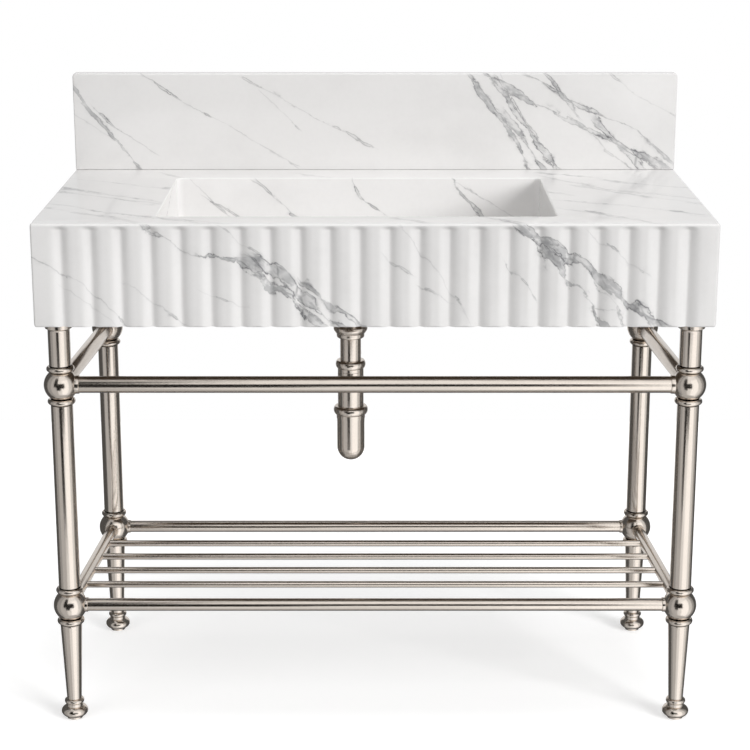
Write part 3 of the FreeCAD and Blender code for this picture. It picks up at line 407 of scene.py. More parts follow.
class Graph(Tree):
    """The node tree of one material, with a Principled surface."""

    def __init__(self, name):
        self.material = bpy.data.materials.new(name)
        self.material.use_nodes = True
        super().__init__(self.material.node_tree)
        self.tree.nodes.clear()
        shader = self.node("ShaderNodeBsdfPrincipled", {}, "BSDF")
        self.node("ShaderNodeOutputMaterial", {"Surface": shader})
        self.shader = shader.socket.node
        self.place = self.node("ShaderNodeTexCoord", {}, "Object")

    def mapped(self, place, **inputs):
        """A place turned, stretched or shifted."""
        return self.node("ShaderNodeMapping", {"Vector": place, **inputs})

    def drawn(self, place, turn, stretch):
        """A place turned about the origin and then stretched."""
        return self.mapped(self.mapped(place, Rotation=turn), Scale=stretch)

    def noise(self, scale, detail, roughness, shift=(0, 0, 0), stretch=(1, 1, 1), place=None,
              output="Fac"):
        """Soft noise from 0 to 1 over a place, or the object's coordinates, shifted and stretched."""
        moved = self.mapped(place or self.place, Location=shift, Scale=stretch)
        return self.node("ShaderNodeTexNoise", {"Vector": moved, "Scale": scale, "Detail": detail,
                                                "Roughness": roughness}, output)

    def jitter(self, scale, amount):
        """The place on the object, moved about by fine noise."""
        offset = self.vector("SUBTRACT", self.noise(scale, 3, 0.6, output="Color"), (0.5, 0.5, 0.5))
        return self.vector("MULTIPLY_ADD", offset, (amount, amount, amount), self.place)

    def cracks(self, place, scale):
        """The distance to the nearest edge of crazed cells over a place."""
        return self.node("ShaderNodeTexVoronoi", {"Vector": place, "Scale": scale}, "Distance",
                         feature="DISTANCE_TO_EDGE")

    def blend(self, factor, first, second):
        """A colour between two colours."""
        first, second = (end if isinstance(end, Value) else (*end, 1) for end in (first, second))
        return self.node("ShaderNodeMix", {"Factor": factor, MIX_FIRST: first, MIX_SECOND: second},
                         MIX_RESULT, data_type="RGBA")

    def bump(self, height, strength, distance):
        """A normal tilted by a height."""
        return self.node("ShaderNodeBump", {"Strength": strength, "Distance": distance, "Height": height},
                         "Normal")

    def surface(self, **inputs):
        """Feeds the surface's inputs, named with underscores for spaces, and gives the material."""
        for name, value in inputs.items():
            self.feed(self.shader.inputs[name.replace("_", " ")], value)
        return self.material


def stretch_group():
    """A node group for one stretch of a vein, made once. With w the distance from the stretch's sheet as
    a share of the vein's spread, d = |w + noise| is the distance from the vein and h = max(0, open +
    noise) its half width. Grey fills the vein where d < h. With q = (d - h) over a line's width, the
    darkness of the lines along its two edges is 1 / (1 + q²), less where the vein is closed. Soft steps
    end the stretch."""
    made = bpy.data.node_groups.get("vein_stretch")
    if made:
        return made
    group = bpy.data.node_groups.new("vein_stretch", "ShaderNodeTree")
    sockets = (("INPUT", "NodeSocketVector", "Place Normal Ahead"),
               ("INPUT", "NodeSocketFloat", "Offset Start Soft Sharp Ink Grey Open Wander Swell Thin Mask"),
               ("INPUT", "NodeSocketFloat", "Lines Greys"), ("OUTPUT", "NodeSocketFloat", "Lines Greys"))
    for side, kind, names in sockets:
        for name in names.split():
            group.interface.new_socket(name, in_out=side, socket_type=kind)
    tree = Tree(group)
    source = tree.node("NodeGroupInput", {}).socket.node
    given = {socket.name: Value(tree, socket) for socket in source.outputs if socket.name}
    across = tree.dot(given["Place"], given["Normal"]) - given["Offset"]
    ahead = tree.dot(given["Place"], given["Ahead"]) - given["Start"]
    soft = given["Soft"]
    window = ahead.step(-soft, soft) * (1 - ahead.step(1 - soft, 1 + soft))
    width = (given["Swell"] * SWELL + given["Open"]).larger(0)
    edge = abs(across + given["Wander"]) - width
    line = 1 / (1 + edge * edge * given["Sharp"] * given["Thin"])
    grey = 1 - edge.step(-GREY_SOFT, GREY_SOFT)
    ink = given["Ink"] * (CLOSED_INK + (1 - CLOSED_INK) * width.step(0, OPEN_WIDTH))
    lines = given["Lines"].larger(line * window * ink * given["Mask"])
    greys = given["Greys"].larger(grey * window * given["Grey"])
    tree.node("NodeGroupOutput", {"Lines": lines, "Greys": greys})
    return group


class Sheets:
    """Veins in the stone: each stretch between two points is a sheet through the stone, whose strands
    wander with noise that all stretches share."""

    def __init__(self, graph, stone, run):
        self.graph = graph
        self.stone = stone
        self.fields = [graph.noise(24, 5, 0.62, (7 * seed, 3 * seed, 5 * seed), place=run) - 0.5
                       for seed in range(FIELD_COUNT)]
        self.knots = graph.noise(45, 3, 0.6, (11, 13, 2), place=run) - 0.5
        self.spot = graph.jitter(34, 0.009)
        self.breaks = graph.noise(19, 3, 0.6, (31, 0, 0)).step(0.34, 0.62)
        swell = 0.6 + 1.2 * graph.noise(46, 2, 0.5, (0, 17, 0)).step(0.5, 0.78)
        self.thin = 1 / (swell * swell)
        self.mask = 0.3 + 0.7 * self.breaks
        self.lines, self.greys = 0.0, 0.0

    def stretch(self, kind, start, end, depth, turn):
        """Adds one stretch of a vein from start to end; its sheet runs on along the direction depth."""
        run = end - start
        spread = self.stone.vein_spread * kind.spread_share
        normal = np.cross(run, depth)
        normal = normal / np.linalg.norm(normal) / spread
        ahead = run - depth * np.dot(run, depth) / np.dot(depth, depth)
        ahead = ahead / np.dot(run, ahead)
        swell = self.knots if kind.spread_share < FINE_SPREAD else self.fields[(turn + 1) % FIELD_COUNT]
        self.lines = self.graph.node("ShaderNodeGroup", {
            "Place": self.spot, "Normal": tuple(normal), "Ahead": tuple(ahead),
            "Offset": float(np.dot(start, normal)), "Start": float(np.dot(start, ahead)),
            "Soft": float(STRETCH_END / np.linalg.norm(run)), "Ink": kind.ink_share, "Grey": kind.grey_share,
            "Sharp": (spread / (self.stone.vein_width * kind.width_share)) ** 2, "Thin": self.thin,
            "Open": kind.open_share, "Wander": self.fields[turn % FIELD_COUNT], "Swell": swell,
            "Mask": self.mask, "Lines": self.lines, "Greys": self.greys}, "Lines", node_tree=stretch_group())
        self.greys = Value(self.graph, self.lines.socket.node.outputs["Greys"])

    def add(self, veins, origin, across, down, depth):
        """Adds a list of veins on the face with the given origin and edges across and down."""
        origin, across, down, depth = (np.array(part, float) for part in (origin, across, down, depth))
        for turn, (kind, *shares) in enumerate(veins):
            points = [origin + aside * across + under * down for aside, under in shares]
            for start, end in zip(points, points[1:]):
                self.stretch(KINDS[kind], start, end, depth, turn)


def marble(name, stone, veins, origin, across, down, depth, tone=1.0):
    """Polished white marble with soft clouds and a list of veins seen on a face. Its noise is drawn out
    along the veins, which lean across the face. The tone darkens the ground, a painted shade for a face that
    should look less lit."""
    graph = Graph(name)
    lean, draw = np.zeros(3), np.ones(3)
    # The lean turns about the axis square to the face, the other way on a face that lies flat.
    flat = int(np.argmin(np.abs(across) + np.abs(down)))
    lean[flat] = STONE_LEAN if flat == 2 else -STONE_LEAN
    draw[np.argmax(np.abs(across))] = STONE_DRAW
    lean, draw = tuple(lean), tuple(draw)
    run = graph.drawn(graph.place, lean, draw)
    sheets = Sheets(graph, stone, run)
    sheets.add(veins, origin, across, down, depth)
    clouds = graph.noise(4.5, 4, 0.6, (3, 9, 1), (1, 1, 1.4)).step(0.4, 0.72)
    speck = graph.noise(120, 2, 0.5).step(0.35, 0.75)
    edge = graph.cracks(graph.drawn(sheets.spot, lean, draw), 52)
    crack = (1 - edge.step(0.01, 0.11)) * sheets.breaks
    fill = 0.25 + 0.75 * graph.noise(66, 4, 0.62, (2, 5, 8), place=run).step(0.4, 0.54)
    # A tone under 1 darkens the ground as painted shade.
    ground, cloud = ([tone * part for part in end] for end in (stone.ground, stone.cloud))
    base = graph.blend(clouds * 0.5 + speck * 0.1, ground, cloud)
    base = graph.blend(sheets.greys * fill, base, stone.grey)
    lines = sheets.lines.larger(sheets.greys * crack * 0.6)
    base = graph.blend(lines, base, stone.ink)
    return graph.surface(Base_Color=base, Roughness=0.09 + 0.05 * clouds + 0.08 * lines, IOR=1.5)


def polished(name, bright, dark, scale=30):
    """Polished metal whose sheen varies a little, as with fingermarks and fine wiping."""
    graph = Graph(name)
    wipe = graph.noise(scale, 4, 0.6, stretch=(1, 1, 0.35)).step(0.3, 0.75)
    mark = graph.noise(scale * 7, 2, 0.5, (5, 1, 2)).step(0.45, 0.8)
    return graph.surface(Base_Color=graph.blend(0.3 * wipe, bright, dark), Metallic=1.0,
                         Roughness=0.17 + 0.03 * wipe + 0.02 * mark)


def board(name, pale, dark):
    """Plain board with long grain across it."""
    graph = Graph(name)
    grain = graph.noise(9, 5, 0.65, (1, 2, 3), (1, 14, 14)).step(0.3, 0.7)
    pore = graph.noise(60, 2, 0.5, stretch=(1, 9, 9)).step(0.55, 0.75)
    return graph.surface(Base_Color=graph.blend(grain.larger(pore * 0.8), pale, dark),
                         Roughness=0.55 + 0.2 * grain, Normal=graph.bump(pore, 0.25, 0.0006))


def rubber(name, clean, dusty):
    """Matt rubber with a little dust."""
    graph = Graph(name)
    dust = graph.noise(220, 3, 0.6).step(0.4, 0.75)
    return graph.surface(Base_Color=graph.blend(dust, clean, dusty), Roughness=0.62 + 0.2 * dust)


def box(node):
    """The lowest and the highest corner of a node's box, in metres."""
    low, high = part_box(node)
    return np.array(low), np.array(high)


def middle(node):
    """The middle of a node's box."""
    low, high = box(node)
    return (low + high) / 2


def half(node):
    """Half the size of a node's box along x, y and z."""
    low, high = box(node)
    return (high - low) / 2


def heights(node):
    """The height of a node's lowest and of its highest point."""
    low, high = box(node)
    return low[2], high[2]


def arc(centre, radii, start, end, count=13):
    """Points of an elliptic arc: (cx + rx cos a, cy + ry sin a), a from start to end in degrees."""
    angle = np.radians(np.linspace(start, end, count))
    return np.stack([centre[0] + radii[0] * np.cos(angle), centre[1] + radii[1] * np.sin(angle)], -1)


def quarter(radius, count):
    """How far a rounded edge lies inside its two flat sides: r (1 - cos a) and r (1 - sin a), a from 0 to
    90 degrees."""
    angle = np.radians(np.linspace(0, 90, count))
    return radius * (1 - np.cos(angle)), radius * (1 - np.sin(angle))


def eased(corners, radius, count=5, closed=True):
    """A polygon whose corners give way to curves: from A to B past the corner P, with
    (1-s)² A + 2 s (1-s) P + s² B, where A and B lie at the radius from P along its two edges.
    The two ends of an open line stay as they are."""
    corners = np.array(corners, float)
    radius = np.broadcast_to(np.asarray(radius, float), len(corners))[:, None]
    parts = []
    for step in (1, -1):
        edge = np.roll(corners, step, 0) - corners
        size = np.maximum(np.linalg.norm(edge, axis=1, keepdims=True), TINY)
        parts.append(corners + edge / size * np.minimum(radius, EASE_SHARE * size))
    share = np.linspace(0, 1, count)[None, :, None]
    curve = ((1 - share) ** 2 * parts[0][:, None] + 2 * share * (1 - share) * corners[:, None]
             + share ** 2 * parts[1][:, None])
    if closed:
        return curve.reshape(-1, 2)
    return np.vstack([corners[:1], curve[1:-1].reshape(-1, 2), corners[-1:]])


def sleeve(low, high, outer, inner, ease=FINE_EDGE, count=5):
    """The profile of a ring or tube with rounded outer edges and plain bores."""
    return eased([(inner, low), (outer, low), (outer, high), (inner, high)],
                 [FINE_EDGE, ease, ease, FINE_EDGE], count)


def grid_faces(rows, columns, wrap_rows=False, wrap_columns=False):
    """Quads over a grid of vertices numbered row by row, closed round its rows or columns on request."""
    row = np.arange(rows if wrap_rows else rows - 1)[:, None]
    column = np.arange(columns if wrap_columns else columns - 1)[None, :]
    here, there = row * columns, (row + 1) % rows * columns
    far = (column + 1) % columns
    corners = np.broadcast_arrays(here + column, there + column, there + far, here + far)
    return np.stack(corners, -1).reshape(-1, 4).tolist()


def lathe(profile, closed=True, count=TURN_COUNT):
    """A profile turned about Z: (r cos a, r sin a, z), a all the way round. The profile runs with the
    solid on its left. A closed one makes a ring; an open one starts and ends on the axis."""
    profile = np.asarray(profile, float)
    rim = profile if closed else profile[1:-1]
    angle = np.linspace(0, FULL_TURN, count, endpoint=False)[:, None]
    radius, height = rim[:, 0], np.broadcast_to(rim[:, 1], (count, len(rim)))
    points = np.stack([radius * np.cos(angle), radius * np.sin(angle), height], -1).reshape(-1, 3)
    faces = grid_faces(count, len(rim), True, closed)
    if closed:
        return points, faces
    low = np.arange(count) * len(rim)
    high = low + len(rim) - 1
    pole = len(points)
    ends = np.array([[0, 0, profile[0, 1]], [0, 0, profile[-1, 1]]])
    faces += np.stack([np.full(count, pole), np.roll(low, -1), low], -1).tolist()
    faces += np.stack([np.full(count, pole + 1), high, np.roll(high, -1)], -1).tolist()
    return np.vstack([points, ends]), faces


def upright(profile, node, closed=True):
    """A profile turned about the upright line through the middle of a node."""
    points, faces = lathe(profile, closed)
    return points + (*middle(node)[:2], 0), faces


def along(shape, start, direction):
    """A shape moved so that its Z axis starts at a point and runs along a direction."""
    points, faces = shape
    turn = np.array(Vector(direction).to_track_quat("Z", "Y").to_matrix())
    return points @ turn.T + np.asarray(start), faces


def merged(*shapes):
    """Several shapes as one."""
    starts = np.cumsum([0] + [len(points) for points, _ in shapes[:-1]])
    faces = [[int(start) + corner for corner in face]
             for start, (_, part) in zip(starts, shapes) for face in part]
    return np.vstack([points for points, _ in shapes]), faces


def piece(name, shape, material, slot, body, *nodes, crease=METAL_CREASE):
    """Makes an object of a shape, smooth but for edges sharper than an angle, in place of CAD nodes."""
    points, faces = shape
    mesh = bpy.data.meshes.new(name)
    mesh.from_pydata(points.tolist(), [], faces)
    mesh.validate()
    mesh.shade_smooth()
    mesh.set_sharp_from_angle(angle=float(np.radians(crease)))
    mesh.materials.append(material)
    item = bpy.data.objects.new(name, mesh)
    bpy.context.scene.collection.objects.link(item)
    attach(item, body)
    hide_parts(*nodes)
    return item


def face_centres(item):
    """The middles of a piece's faces."""
    centres = np.empty(len(item.data.polygons) * 3)
    item.data.polygons.foreach_get("center", centres)
    return centres.reshape(-1, 3)


def second_finish(item, material, chosen):
    """Gives the chosen faces of a piece a second material."""
    item.data.materials.append(material)
    item.data.polygons.foreach_set("material_index", chosen.astype(np.int32))


def finish_nodes(material, *nodes):
    """Gives CAD nodes whose shape stays a material of their own."""
    for node in nodes:
        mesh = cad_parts[node].data
        mesh.materials.clear()
        mesh.materials.append(material)


def with_sides(corners):
    """A closed path through the samples of four corners, with samples along the sides between them."""
    share = np.linspace(0, 1, SIDE_COUNT + 2)[1:-1][None, :, None]
    sides = corners[:, -1:] * (1 - share) + np.roll(corners[:, :1], -1, 0) * share
    return np.concatenate([corners, sides], 1).reshape(-1, 2)


def ring_path(low, high, radius):
    """A rounded rectangle in x and y, counter-clockwise, sampled the same way whatever its size."""
    centres = np.where(CORNER_SIGNS > 0, high, low) - CORNER_SIGNS * radius
    turns = np.radians(np.array([-90, 0, 90, 180])[:, None] + np.linspace(0, 90, ARC_COUNT))
    return with_sides(centres[:, None] + radius * np.stack([np.cos(turns), np.sin(turns)], -1))


def square_path(low, high, guide_low, guide_high):
    """A sharp rectangle sampled to match a rounded one: each corner's samples run along both its edges,
    from abreast of the guide rectangle's edges to the corner and back."""
    ends = np.where(CORNER_SIGNS > 0, high, low)
    inner = np.where(CORNER_SIGNS > 0, guide_high, guide_low)
    flat = np.array([[1, 0], [0, 1], [1, 0], [0, 1]], bool)
    first, last = np.where(flat, inner, ends), np.where(~flat, inner, ends)
    share = np.linspace(0, 1, ARC_COUNT // 2 + 1)[None, :, None]
    rise = first[:, None] * (1 - share) + ends[:, None] * share
    fall = ends[:, None] * (1 - share) + last[:, None] * share
    return with_sides(np.concatenate([rise, fall[:, 1:]], 1))


def round_path(centre, radius, count):
    """A circle in x and y whose samples match a rectangle's, corner against corner."""
    turn = (np.arange(count) - ARC_COUNT // 2) * FULL_TURN / count - np.radians(45)
    return np.asarray(centre) + radius * np.stack([np.cos(turn), np.sin(turn)], -1)


def rings(levels):
    """A closed surface through rings one after another, each a path in x and y with its height."""
    points = np.stack([np.column_stack([path, np.full(len(path), height)]) for path, height in levels], 1)
    return points.reshape(-1, 3), grid_faces(len(points), len(levels), True, True)


def reed_depth(x, stone):
    """How deep the reeds lie behind the front at x. With u the distance past the crest's flat as a share
    of the way to the valley, the depth is D u^p, with D the valley's depth and p the reed's power. The
    distance v to the valley gives way to sqrt(v² + w²), which rounds the valley over a width w."""
    side, flat = stone.reed_pitch / 2, stone.crest_flat / 2
    row = stone.reed_count * side
    inside = np.abs((x + row) % stone.reed_pitch - side)
    offset = np.where(np.abs(x) > row, side - (np.abs(x) - row), inside)
    offset = side - np.hypot(side - offset, stone.valley)
    share = np.maximum(offset - flat, 0) / (side - stone.valley - flat)
    return stone.reed_depth * share ** stone.reed_power


def reeded_front(stone):
    """The reeded front: sections across it, one for each x, each a loop up the front, back along the top,
    down the back and forward along the bottom. The front lies behind its flat plane by the larger of
    the edge's rounding and the reeds' depth, and the reeds fade out under a straight lip. Also tells
    which faces lie on top."""
    low, high = box("front_apron")
    height = high[2] - low[2]
    edge = stone.arris
    end, side = quarter(edge, FRONT_SAMPLES)
    row = (stone.reed_count + 1) * stone.reed_pitch / 2
    field = np.linspace(-row, row, (stone.reed_count + 1) * REED_SAMPLES + 1)
    x = np.concatenate([low[0] + end, field, (high[0] - end)[::-1]])
    inset = np.concatenate([side, field * 0, side[::-1]])
    rise = np.linspace(height - stone.reed_lip - stone.reed_fade, height - edge, FADE_SAMPLES)
    z = np.concatenate([end, [height / 2], rise[:-1], (height - end)[::-1]])
    gap = np.minimum(np.minimum(z, height - z), edge)
    rounding = edge - np.sqrt(np.maximum(edge ** 2 - (edge - gap) ** 2, 0))
    fade = np.clip((height - stone.reed_lip - z) / stone.reed_fade, 0, 1)
    fade = fade * fade * (3 - 2 * fade)
    deep = np.maximum(rounding, reed_depth(x, stone)[:, None] * fade)
    squeeze = 1 - 2 * inset[:, None] / height
    front = np.stack([np.broadcast_to(x[:, None], deep.shape), low[1] + inset[:, None] + deep,
                      low[2] + inset[:, None] + z * squeeze], -1)
    rear = np.full(len(x), high[1])
    back = np.stack([np.column_stack([x, rear, line]) for line in (high[2] - inset, low[2] + inset)], 1)
    points = np.concatenate([front, back], 1)
    rows, columns = points.shape[:2]
    faces = grid_faces(rows, columns, False, True)
    first = list(range(columns))
    last = [(rows - 1) * columns + corner for corner in first]
    column = np.arange(len(faces)) % columns
    on_top = (column >= front.shape[1] - FRONT_SAMPLES // 2) & (column < front.shape[1])
    shape = points.reshape(-1, 3), faces + [first, last[::-1]]
    return shape, np.concatenate([on_top, [False, False]])


def basin_box(stone):
    """The lower and upper corner of the basin's opening in x and y."""
    low, high = box("basin_bowl")
    return low[:2] + stone.bowl_wall, high[:2] - stone.bowl_wall


def outer_path(node, stone):
    """The sharp outline of a stone piece, sampled to match the basin's opening."""
    low, high = box(node)
    basin_low, basin_high = basin_box(stone)
    return square_path(low[:2], high[:2], basin_low + stone.basin_corner, basin_high - stone.basin_corner)


def slab_shape(stone):
    """The top slab: rings from the outer edge over the top, down the basin's rounded rim and back."""
    low, high = box("top_slab")
    basin_low, basin_high = basin_box(stone)
    corner = stone.basin_corner
    outer = outer_path("top_slab", stone)
    levels = [(outer, low[2])]
    for aside, under in zip(*quarter(stone.side_arris, EDGE_COUNT)):
        drawn_in = np.clip(outer[:, 0], low[0] + aside, high[0] - aside)
        levels.append((np.column_stack([drawn_in, outer[:, 1]]), high[2] - under))
    rim = [(ring_path(basin_low - aside, basin_high + aside, corner + aside), high[2] - under)
           for aside, under in zip(*quarter(stone.rim, EDGE_COUNT))]
    return rings(levels + rim[::-1] + [(ring_path(basin_low, basin_high, corner), low[2])])


def bowl_shape(stone):
    """The bowl: rings up its outside, down the basin's walls, round the floor's edge, down the fall to
    the square pan, into the drain's recess and hole and back along the underside."""
    low, high = heights("basin_bowl")
    basin_low, basin_high = basin_box(stone)
    corner = stone.basin_corner
    outer = outer_path("basin_bowl", stone)
    levels = [(outer, low), (outer, high), (ring_path(basin_low, basin_high, corner), high)]
    for aside, under in zip(*quarter(corner, ARC_COUNT)):
        path = ring_path(basin_low + aside, basin_high - aside, max(corner - aside, FINE_EDGE))
        levels.append((path, low + stone.floor_height + under))
    drain = middle("basin_bowl")[:2] + (stone.drain_shift, 0)
    reach = stone.pan_width / 2
    pan = low + stone.pan_height
    recess = pan - stone.recess_depth
    levels.append((ring_path(drain - reach, drain + reach, stone.pan_corner), pan))
    for radius, height in ((stone.recess_radius, pan), (stone.recess_radius, recess),
                           (stone.hole_radius, recess), (stone.hole_radius, low)):
        levels.append((round_path(drain, radius, len(outer)), height))
    return rings(levels)


def splash_shape(stone):
    """The backsplash: its outline, with two rounded upper corners, drawn forward from the back and in
    round the eased front edge, with a flat face in front and behind. The foot's front edge is eased
    less, which leaves a fine joint along the top."""
    low, high = box("backsplash")
    corner, edge = stone.splash_corner, stone.splash_edge
    hubs = np.array([(high[0] - corner, high[2] - corner), (low[0] + corner, high[2] - corner)])
    arcs = [arc(hub, (corner, corner), start, start + 90, ARC_COUNT) for hub, start in zip(hubs, (0, 90))]
    outline = np.vstack([[(low[0], low[2]), (high[0], low[2])], *arcs])
    inward = np.vstack([[(1, stone.joint / edge), (-1, stone.joint / edge)],
                        (np.repeat(hubs, ARC_COUNT, 0) - outline[2:]) / corner])
    levels = [(outline, high[1])]
    for aside, under in zip(*quarter(edge, EDGE_COUNT)):
        levels.append((outline + inward * aside, low[1] + under))
    points = np.stack([np.insert(path, 1, y, axis=1) for path, y in levels], 1)
    rows, columns = points.shape[:2]
    behind = [row * columns for row in range(rows)]
    ahead = [row * columns + columns - 1 for row in range(rows)]
    return points.reshape(-1, 3), grid_faces(rows, columns, True, False) + [ahead, behind[::-1]]


def stone_marble(stone, place):
    """Marble with the veins seen on the front, the top, the basin's rear wall, the sides or the
    backsplash, made once."""
    name = f"marble_{place}"
    made = bpy.data.materials.get(name)
    if made:
        return made
    low, high = box("front_apron")
    bowl_low, bowl_high = basin_box(stone)
    splash_low, splash_high = box("backsplash")
    back = box("top_slab")[1][1]
    floor = box("basin_bowl")[0][2] + stone.floor_height
    wide, deep, fall = (high[0] - low[0], 0, 0), (0, low[1] - back, 0), (0, 0, low[2] - high[2])
    rear = (low[0], back, high[2])
    faces = {
        "front": (FRONT_VEINS, (low[0], low[1], high[2]), wide, fall, (1, -0.8, 0)),
        "top": (TOP_VEINS, rear, wide, deep, (0.5, 0, -1)),
        "bowl": (BOWL_VEINS, (bowl_low[0], bowl_high[1], high[2]), (bowl_high[0] - bowl_low[0], 0, 0),
                 (0, 0, floor - high[2]), (0.25, 1, 0)),
        "side": (SIDE_VEINS, rear, deep, fall, (1, -0.4, 0)),
        # The backsplash's ground is darkened by its tone, a painted shade.
        "splash": (SPLASH_VEINS, (splash_low[0], splash_low[1], splash_high[2]),
                   (splash_high[0] - splash_low[0], 0, 0), (0, 0, splash_low[2] - splash_high[2]),
                   (0.3, 1, -0.2), stone.splash_painted_shade),
    }
    return marble(name, stone, *faces[place])


def stone_piece(name, shape, stone, place, node):
    """A piece of the stone top in place of a node."""
    return piece(name, shape, stone_marble(stone, place), "marble", "console", node, crease=STONE_CREASE)


class CONSOLE_OT_front(bpy.types.Operator):
    """Build the reeded stone front"""
    bl_idname = "console.front"
    bl_label = "Reeded Front"

    def execute(self, context):
        stone = context.scene.console_stone
        shape, on_top = reeded_front(stone)
        item = stone_piece("reeded_front", shape, stone, "front", "front_apron")
        second_finish(item, stone_marble(stone, "top"), on_top)
        return {"FINISHED"}


class CONSOLE_OT_slabs(bpy.types.Operator):
    """Build the top slab and the backsplash, and finish the plain aprons"""
    bl_idname = "console.slabs"
    bl_label = "Top and Backsplash"

    def execute(self, context):
        stone = context.scene.console_stone
        item = stone_piece("stone_top", slab_shape(stone), stone, "top", "top_slab")
        centres = face_centres(item)[:, :2]
        low, high = basin_box(stone)
        inside = np.all((centres > low - stone.rim) & (centres < high + stone.rim), axis=1)
        second_finish(item, stone_marble(stone, "bowl"), inside)
        stone_piece("stone_backsplash", splash_shape(stone), stone, "splash", "backsplash")
        finish_nodes(stone_marble(stone, "side"), "left_apron", "right_apron", "rear_apron")
        return {"FINISHED"}


class CONSOLE_OT_bowl(bpy.types.Operator):
    """Build the basin's bowl"""
    bl_idname = "console.bowl"
    bl_label = "Bowl"

    def execute(self, context):
        stone = context.scene.console_stone
        stone_piece("stone_bowl", bowl_shape(stone), stone, "bowl", "basin_bowl")
        return {"FINISHED"}


def metal_piece(name, shape, node, body="console"):
    """A piece of polished nickel in place of a node. The nickel is made once."""
    stand = bpy.context.scene.console_stand
    finish = bpy.data.materials.get("polished_nickel")
    finish = finish or polished("polished_nickel", stand.nickel, stand.nickel_dark)
    return piece(name, shape, finish, "nickel", body, node)


def turned_piece(node, profile, body="console", closed=True):
    """A piece of nickel turned about the middle of the node that it replaces."""
    return metal_piece(f"turned_{node}", upright(profile, node, closed), node, body)


def leg_top_profile(node, stand):
    """The leg's upper end: a bore for the ball's spigot, the tube, a cove and the flange under the stone."""
    low, high = heights(node)
    flange = half(node)[0]
    bore = stand.leg_radius - stand.tube_wall
    inner_top = high - stand.cap
    plate_low = high - stand.flange_height
    cove_low = plate_low - stand.cove
    shank = eased([(0, inner_top), (bore, inner_top), (bore, low), (stand.leg_radius, low),
                   (stand.leg_radius, cove_low)], LEG_EDGE, closed=False)
    cove = arc((flange, cove_low), (flange - stand.leg_radius, stand.cove), 180, 90)
    plate = eased([(flange, plate_low), (flange, (plate_low + high) / 2), (flange, high), (0, high)],
                  SOFT_EDGE, closed=False)
    return np.vstack([shank, cove[1:], plate[1:]])


def ball_profile(node, stand):
    """A joint ball: a spigot, a bead and a groove below the ball, and the same mirrored above it."""
    reach = half(node)[2]
    tube_end = stand.spigot - reach
    collar = stand.leg_radius - stand.seam
    groove = stand.groove_radius
    latitude = np.degrees(np.arccos(groove / stand.ball_radius))
    ball = arc((0, 0), (stand.ball_radius, stand.ball_radius), -latitude, latitude, BALL_COUNT)
    bead = arc((stand.bead_reach, -stand.bead_height), (stand.bead_radius, stand.bead_radius), -80, 90)
    lower = np.vstack([[(0, -reach), (stand.spigot_radius, -reach), (stand.spigot_radius, tube_end),
                        (collar, tube_end), (collar, bead[0, 1])], bead, [(groove, bead[-1, 1])]])
    return np.vstack([lower, ball[1:-1], (lower * (1, -1))[::-1]]) + (0, middle(node)[2])


def tube_profile(node, stand):
    """The leg's middle tube: its wall's section, a tall thin rectangle that is turned about the leg."""
    low, high = heights(node)
    return sleeve(low, high, stand.leg_radius, stand.leg_radius - stand.tube_wall)


def taper_profile(node, stand):
    """The tapered leg: the foot's hole, the taper from the ankle to the tube and the bore above."""
    low, high = heights(node)
    bore = stand.leg_radius - stand.tube_wall
    hole, seat = low + stand.thread_depth, high - stand.seat
    return eased([(0, hole), (stand.thread_hole, hole), (stand.thread_hole, low), (stand.ankle, low),
                  (stand.leg_radius, high - stand.taper_lip), (stand.leg_radius, high), (bore, high),
                  (bore, seat), (0, seat)], FINE_EDGE, closed=False)


def foot_profile(node, stand):
    """The foot: a flat base, a bun, a thin collar, a bead and the stud."""
    low, high = heights(node)
    bun = half(node)[0]
    shoulder = high - stand.stud_length
    base, neck = (np.degrees(np.arccos(radius / bun)) for radius in (stand.foot_base, stand.foot_collar))
    round_bun = arc((0, stand.bun_middle), (bun, stand.bun_height), -base, neck, BUN_COUNT)
    size = stand.foot_bead_height
    bead = arc((stand.foot_bead - size, shoulder - size - FINE_EDGE), (size, size), -85, 85)
    return np.vstack([[(0, low), (stand.foot_base, low)], round_bun, [(stand.foot_collar, bead[0, 1])], bead,
                      [(stand.ankle, shoulder), (stand.stud_radius, shoulder),
                       (stand.stud_radius, high - SOFT_EDGE), (stand.stud_radius - SOFT_EDGE, high),
                       (0, high)]])


class CONSOLE_OT_legs(bpy.types.Operator):
    """Turn the four legs with their balls and feet"""
    bl_idname = "console.legs"
    bl_label = "Legs"

    def execute(self, context):
        stand = context.scene.console_stand
        # Near-black nickel for the seams and grooves: painted shade in these hollows.
        shade = polished("nickel_seam", stand.seam_painted_shade, stand.seam_painted_shade_deep)
        profiles = {"leg_top": leg_top_profile, "upper_ball": ball_profile, "leg_tube": tube_profile,
                    "lower_ball": ball_profile, "tapered_leg": taper_profile, "foot": foot_profile}
        for corner in CORNERS:
            tube = f"{corner}_leg_tube"
            for part, profile in profiles.items():
                node = f"{corner}_{part}"
                shape = upright(profile(node, stand), tube, closed=profile is tube_profile)
                item = metal_piece(f"turned_{node}", shape, node, node if part == "foot" else "console")
                if profile is ball_profile:
                    # Faces inside the tube's surface, in the seams and grooves, get the painted shade.
                    reach = np.linalg.norm(face_centres(item)[:, :2] - middle(tube)[:2], axis=1)
                    second_finish(item, shade, reach < stand.leg_radius - stand.seam_edge)
        return {"FINISHED"}


def ball_middle(corner, level):
    """The middle of a joint ball, from the leg's tube and the rail's height."""
    return np.array([*middle(f"{corner}_leg_tube")[:2], middle(f"{level}_front_rail")[2]])


def tube_between(start, end, radius, wall):
    """A tube from one point to another: its wall's section turned about the line between them."""
    profile = sleeve(0, float(np.linalg.norm(end - start)), radius, radius - wall)
    return along(lathe(profile, True, TUBE_COUNT), start, end - start)


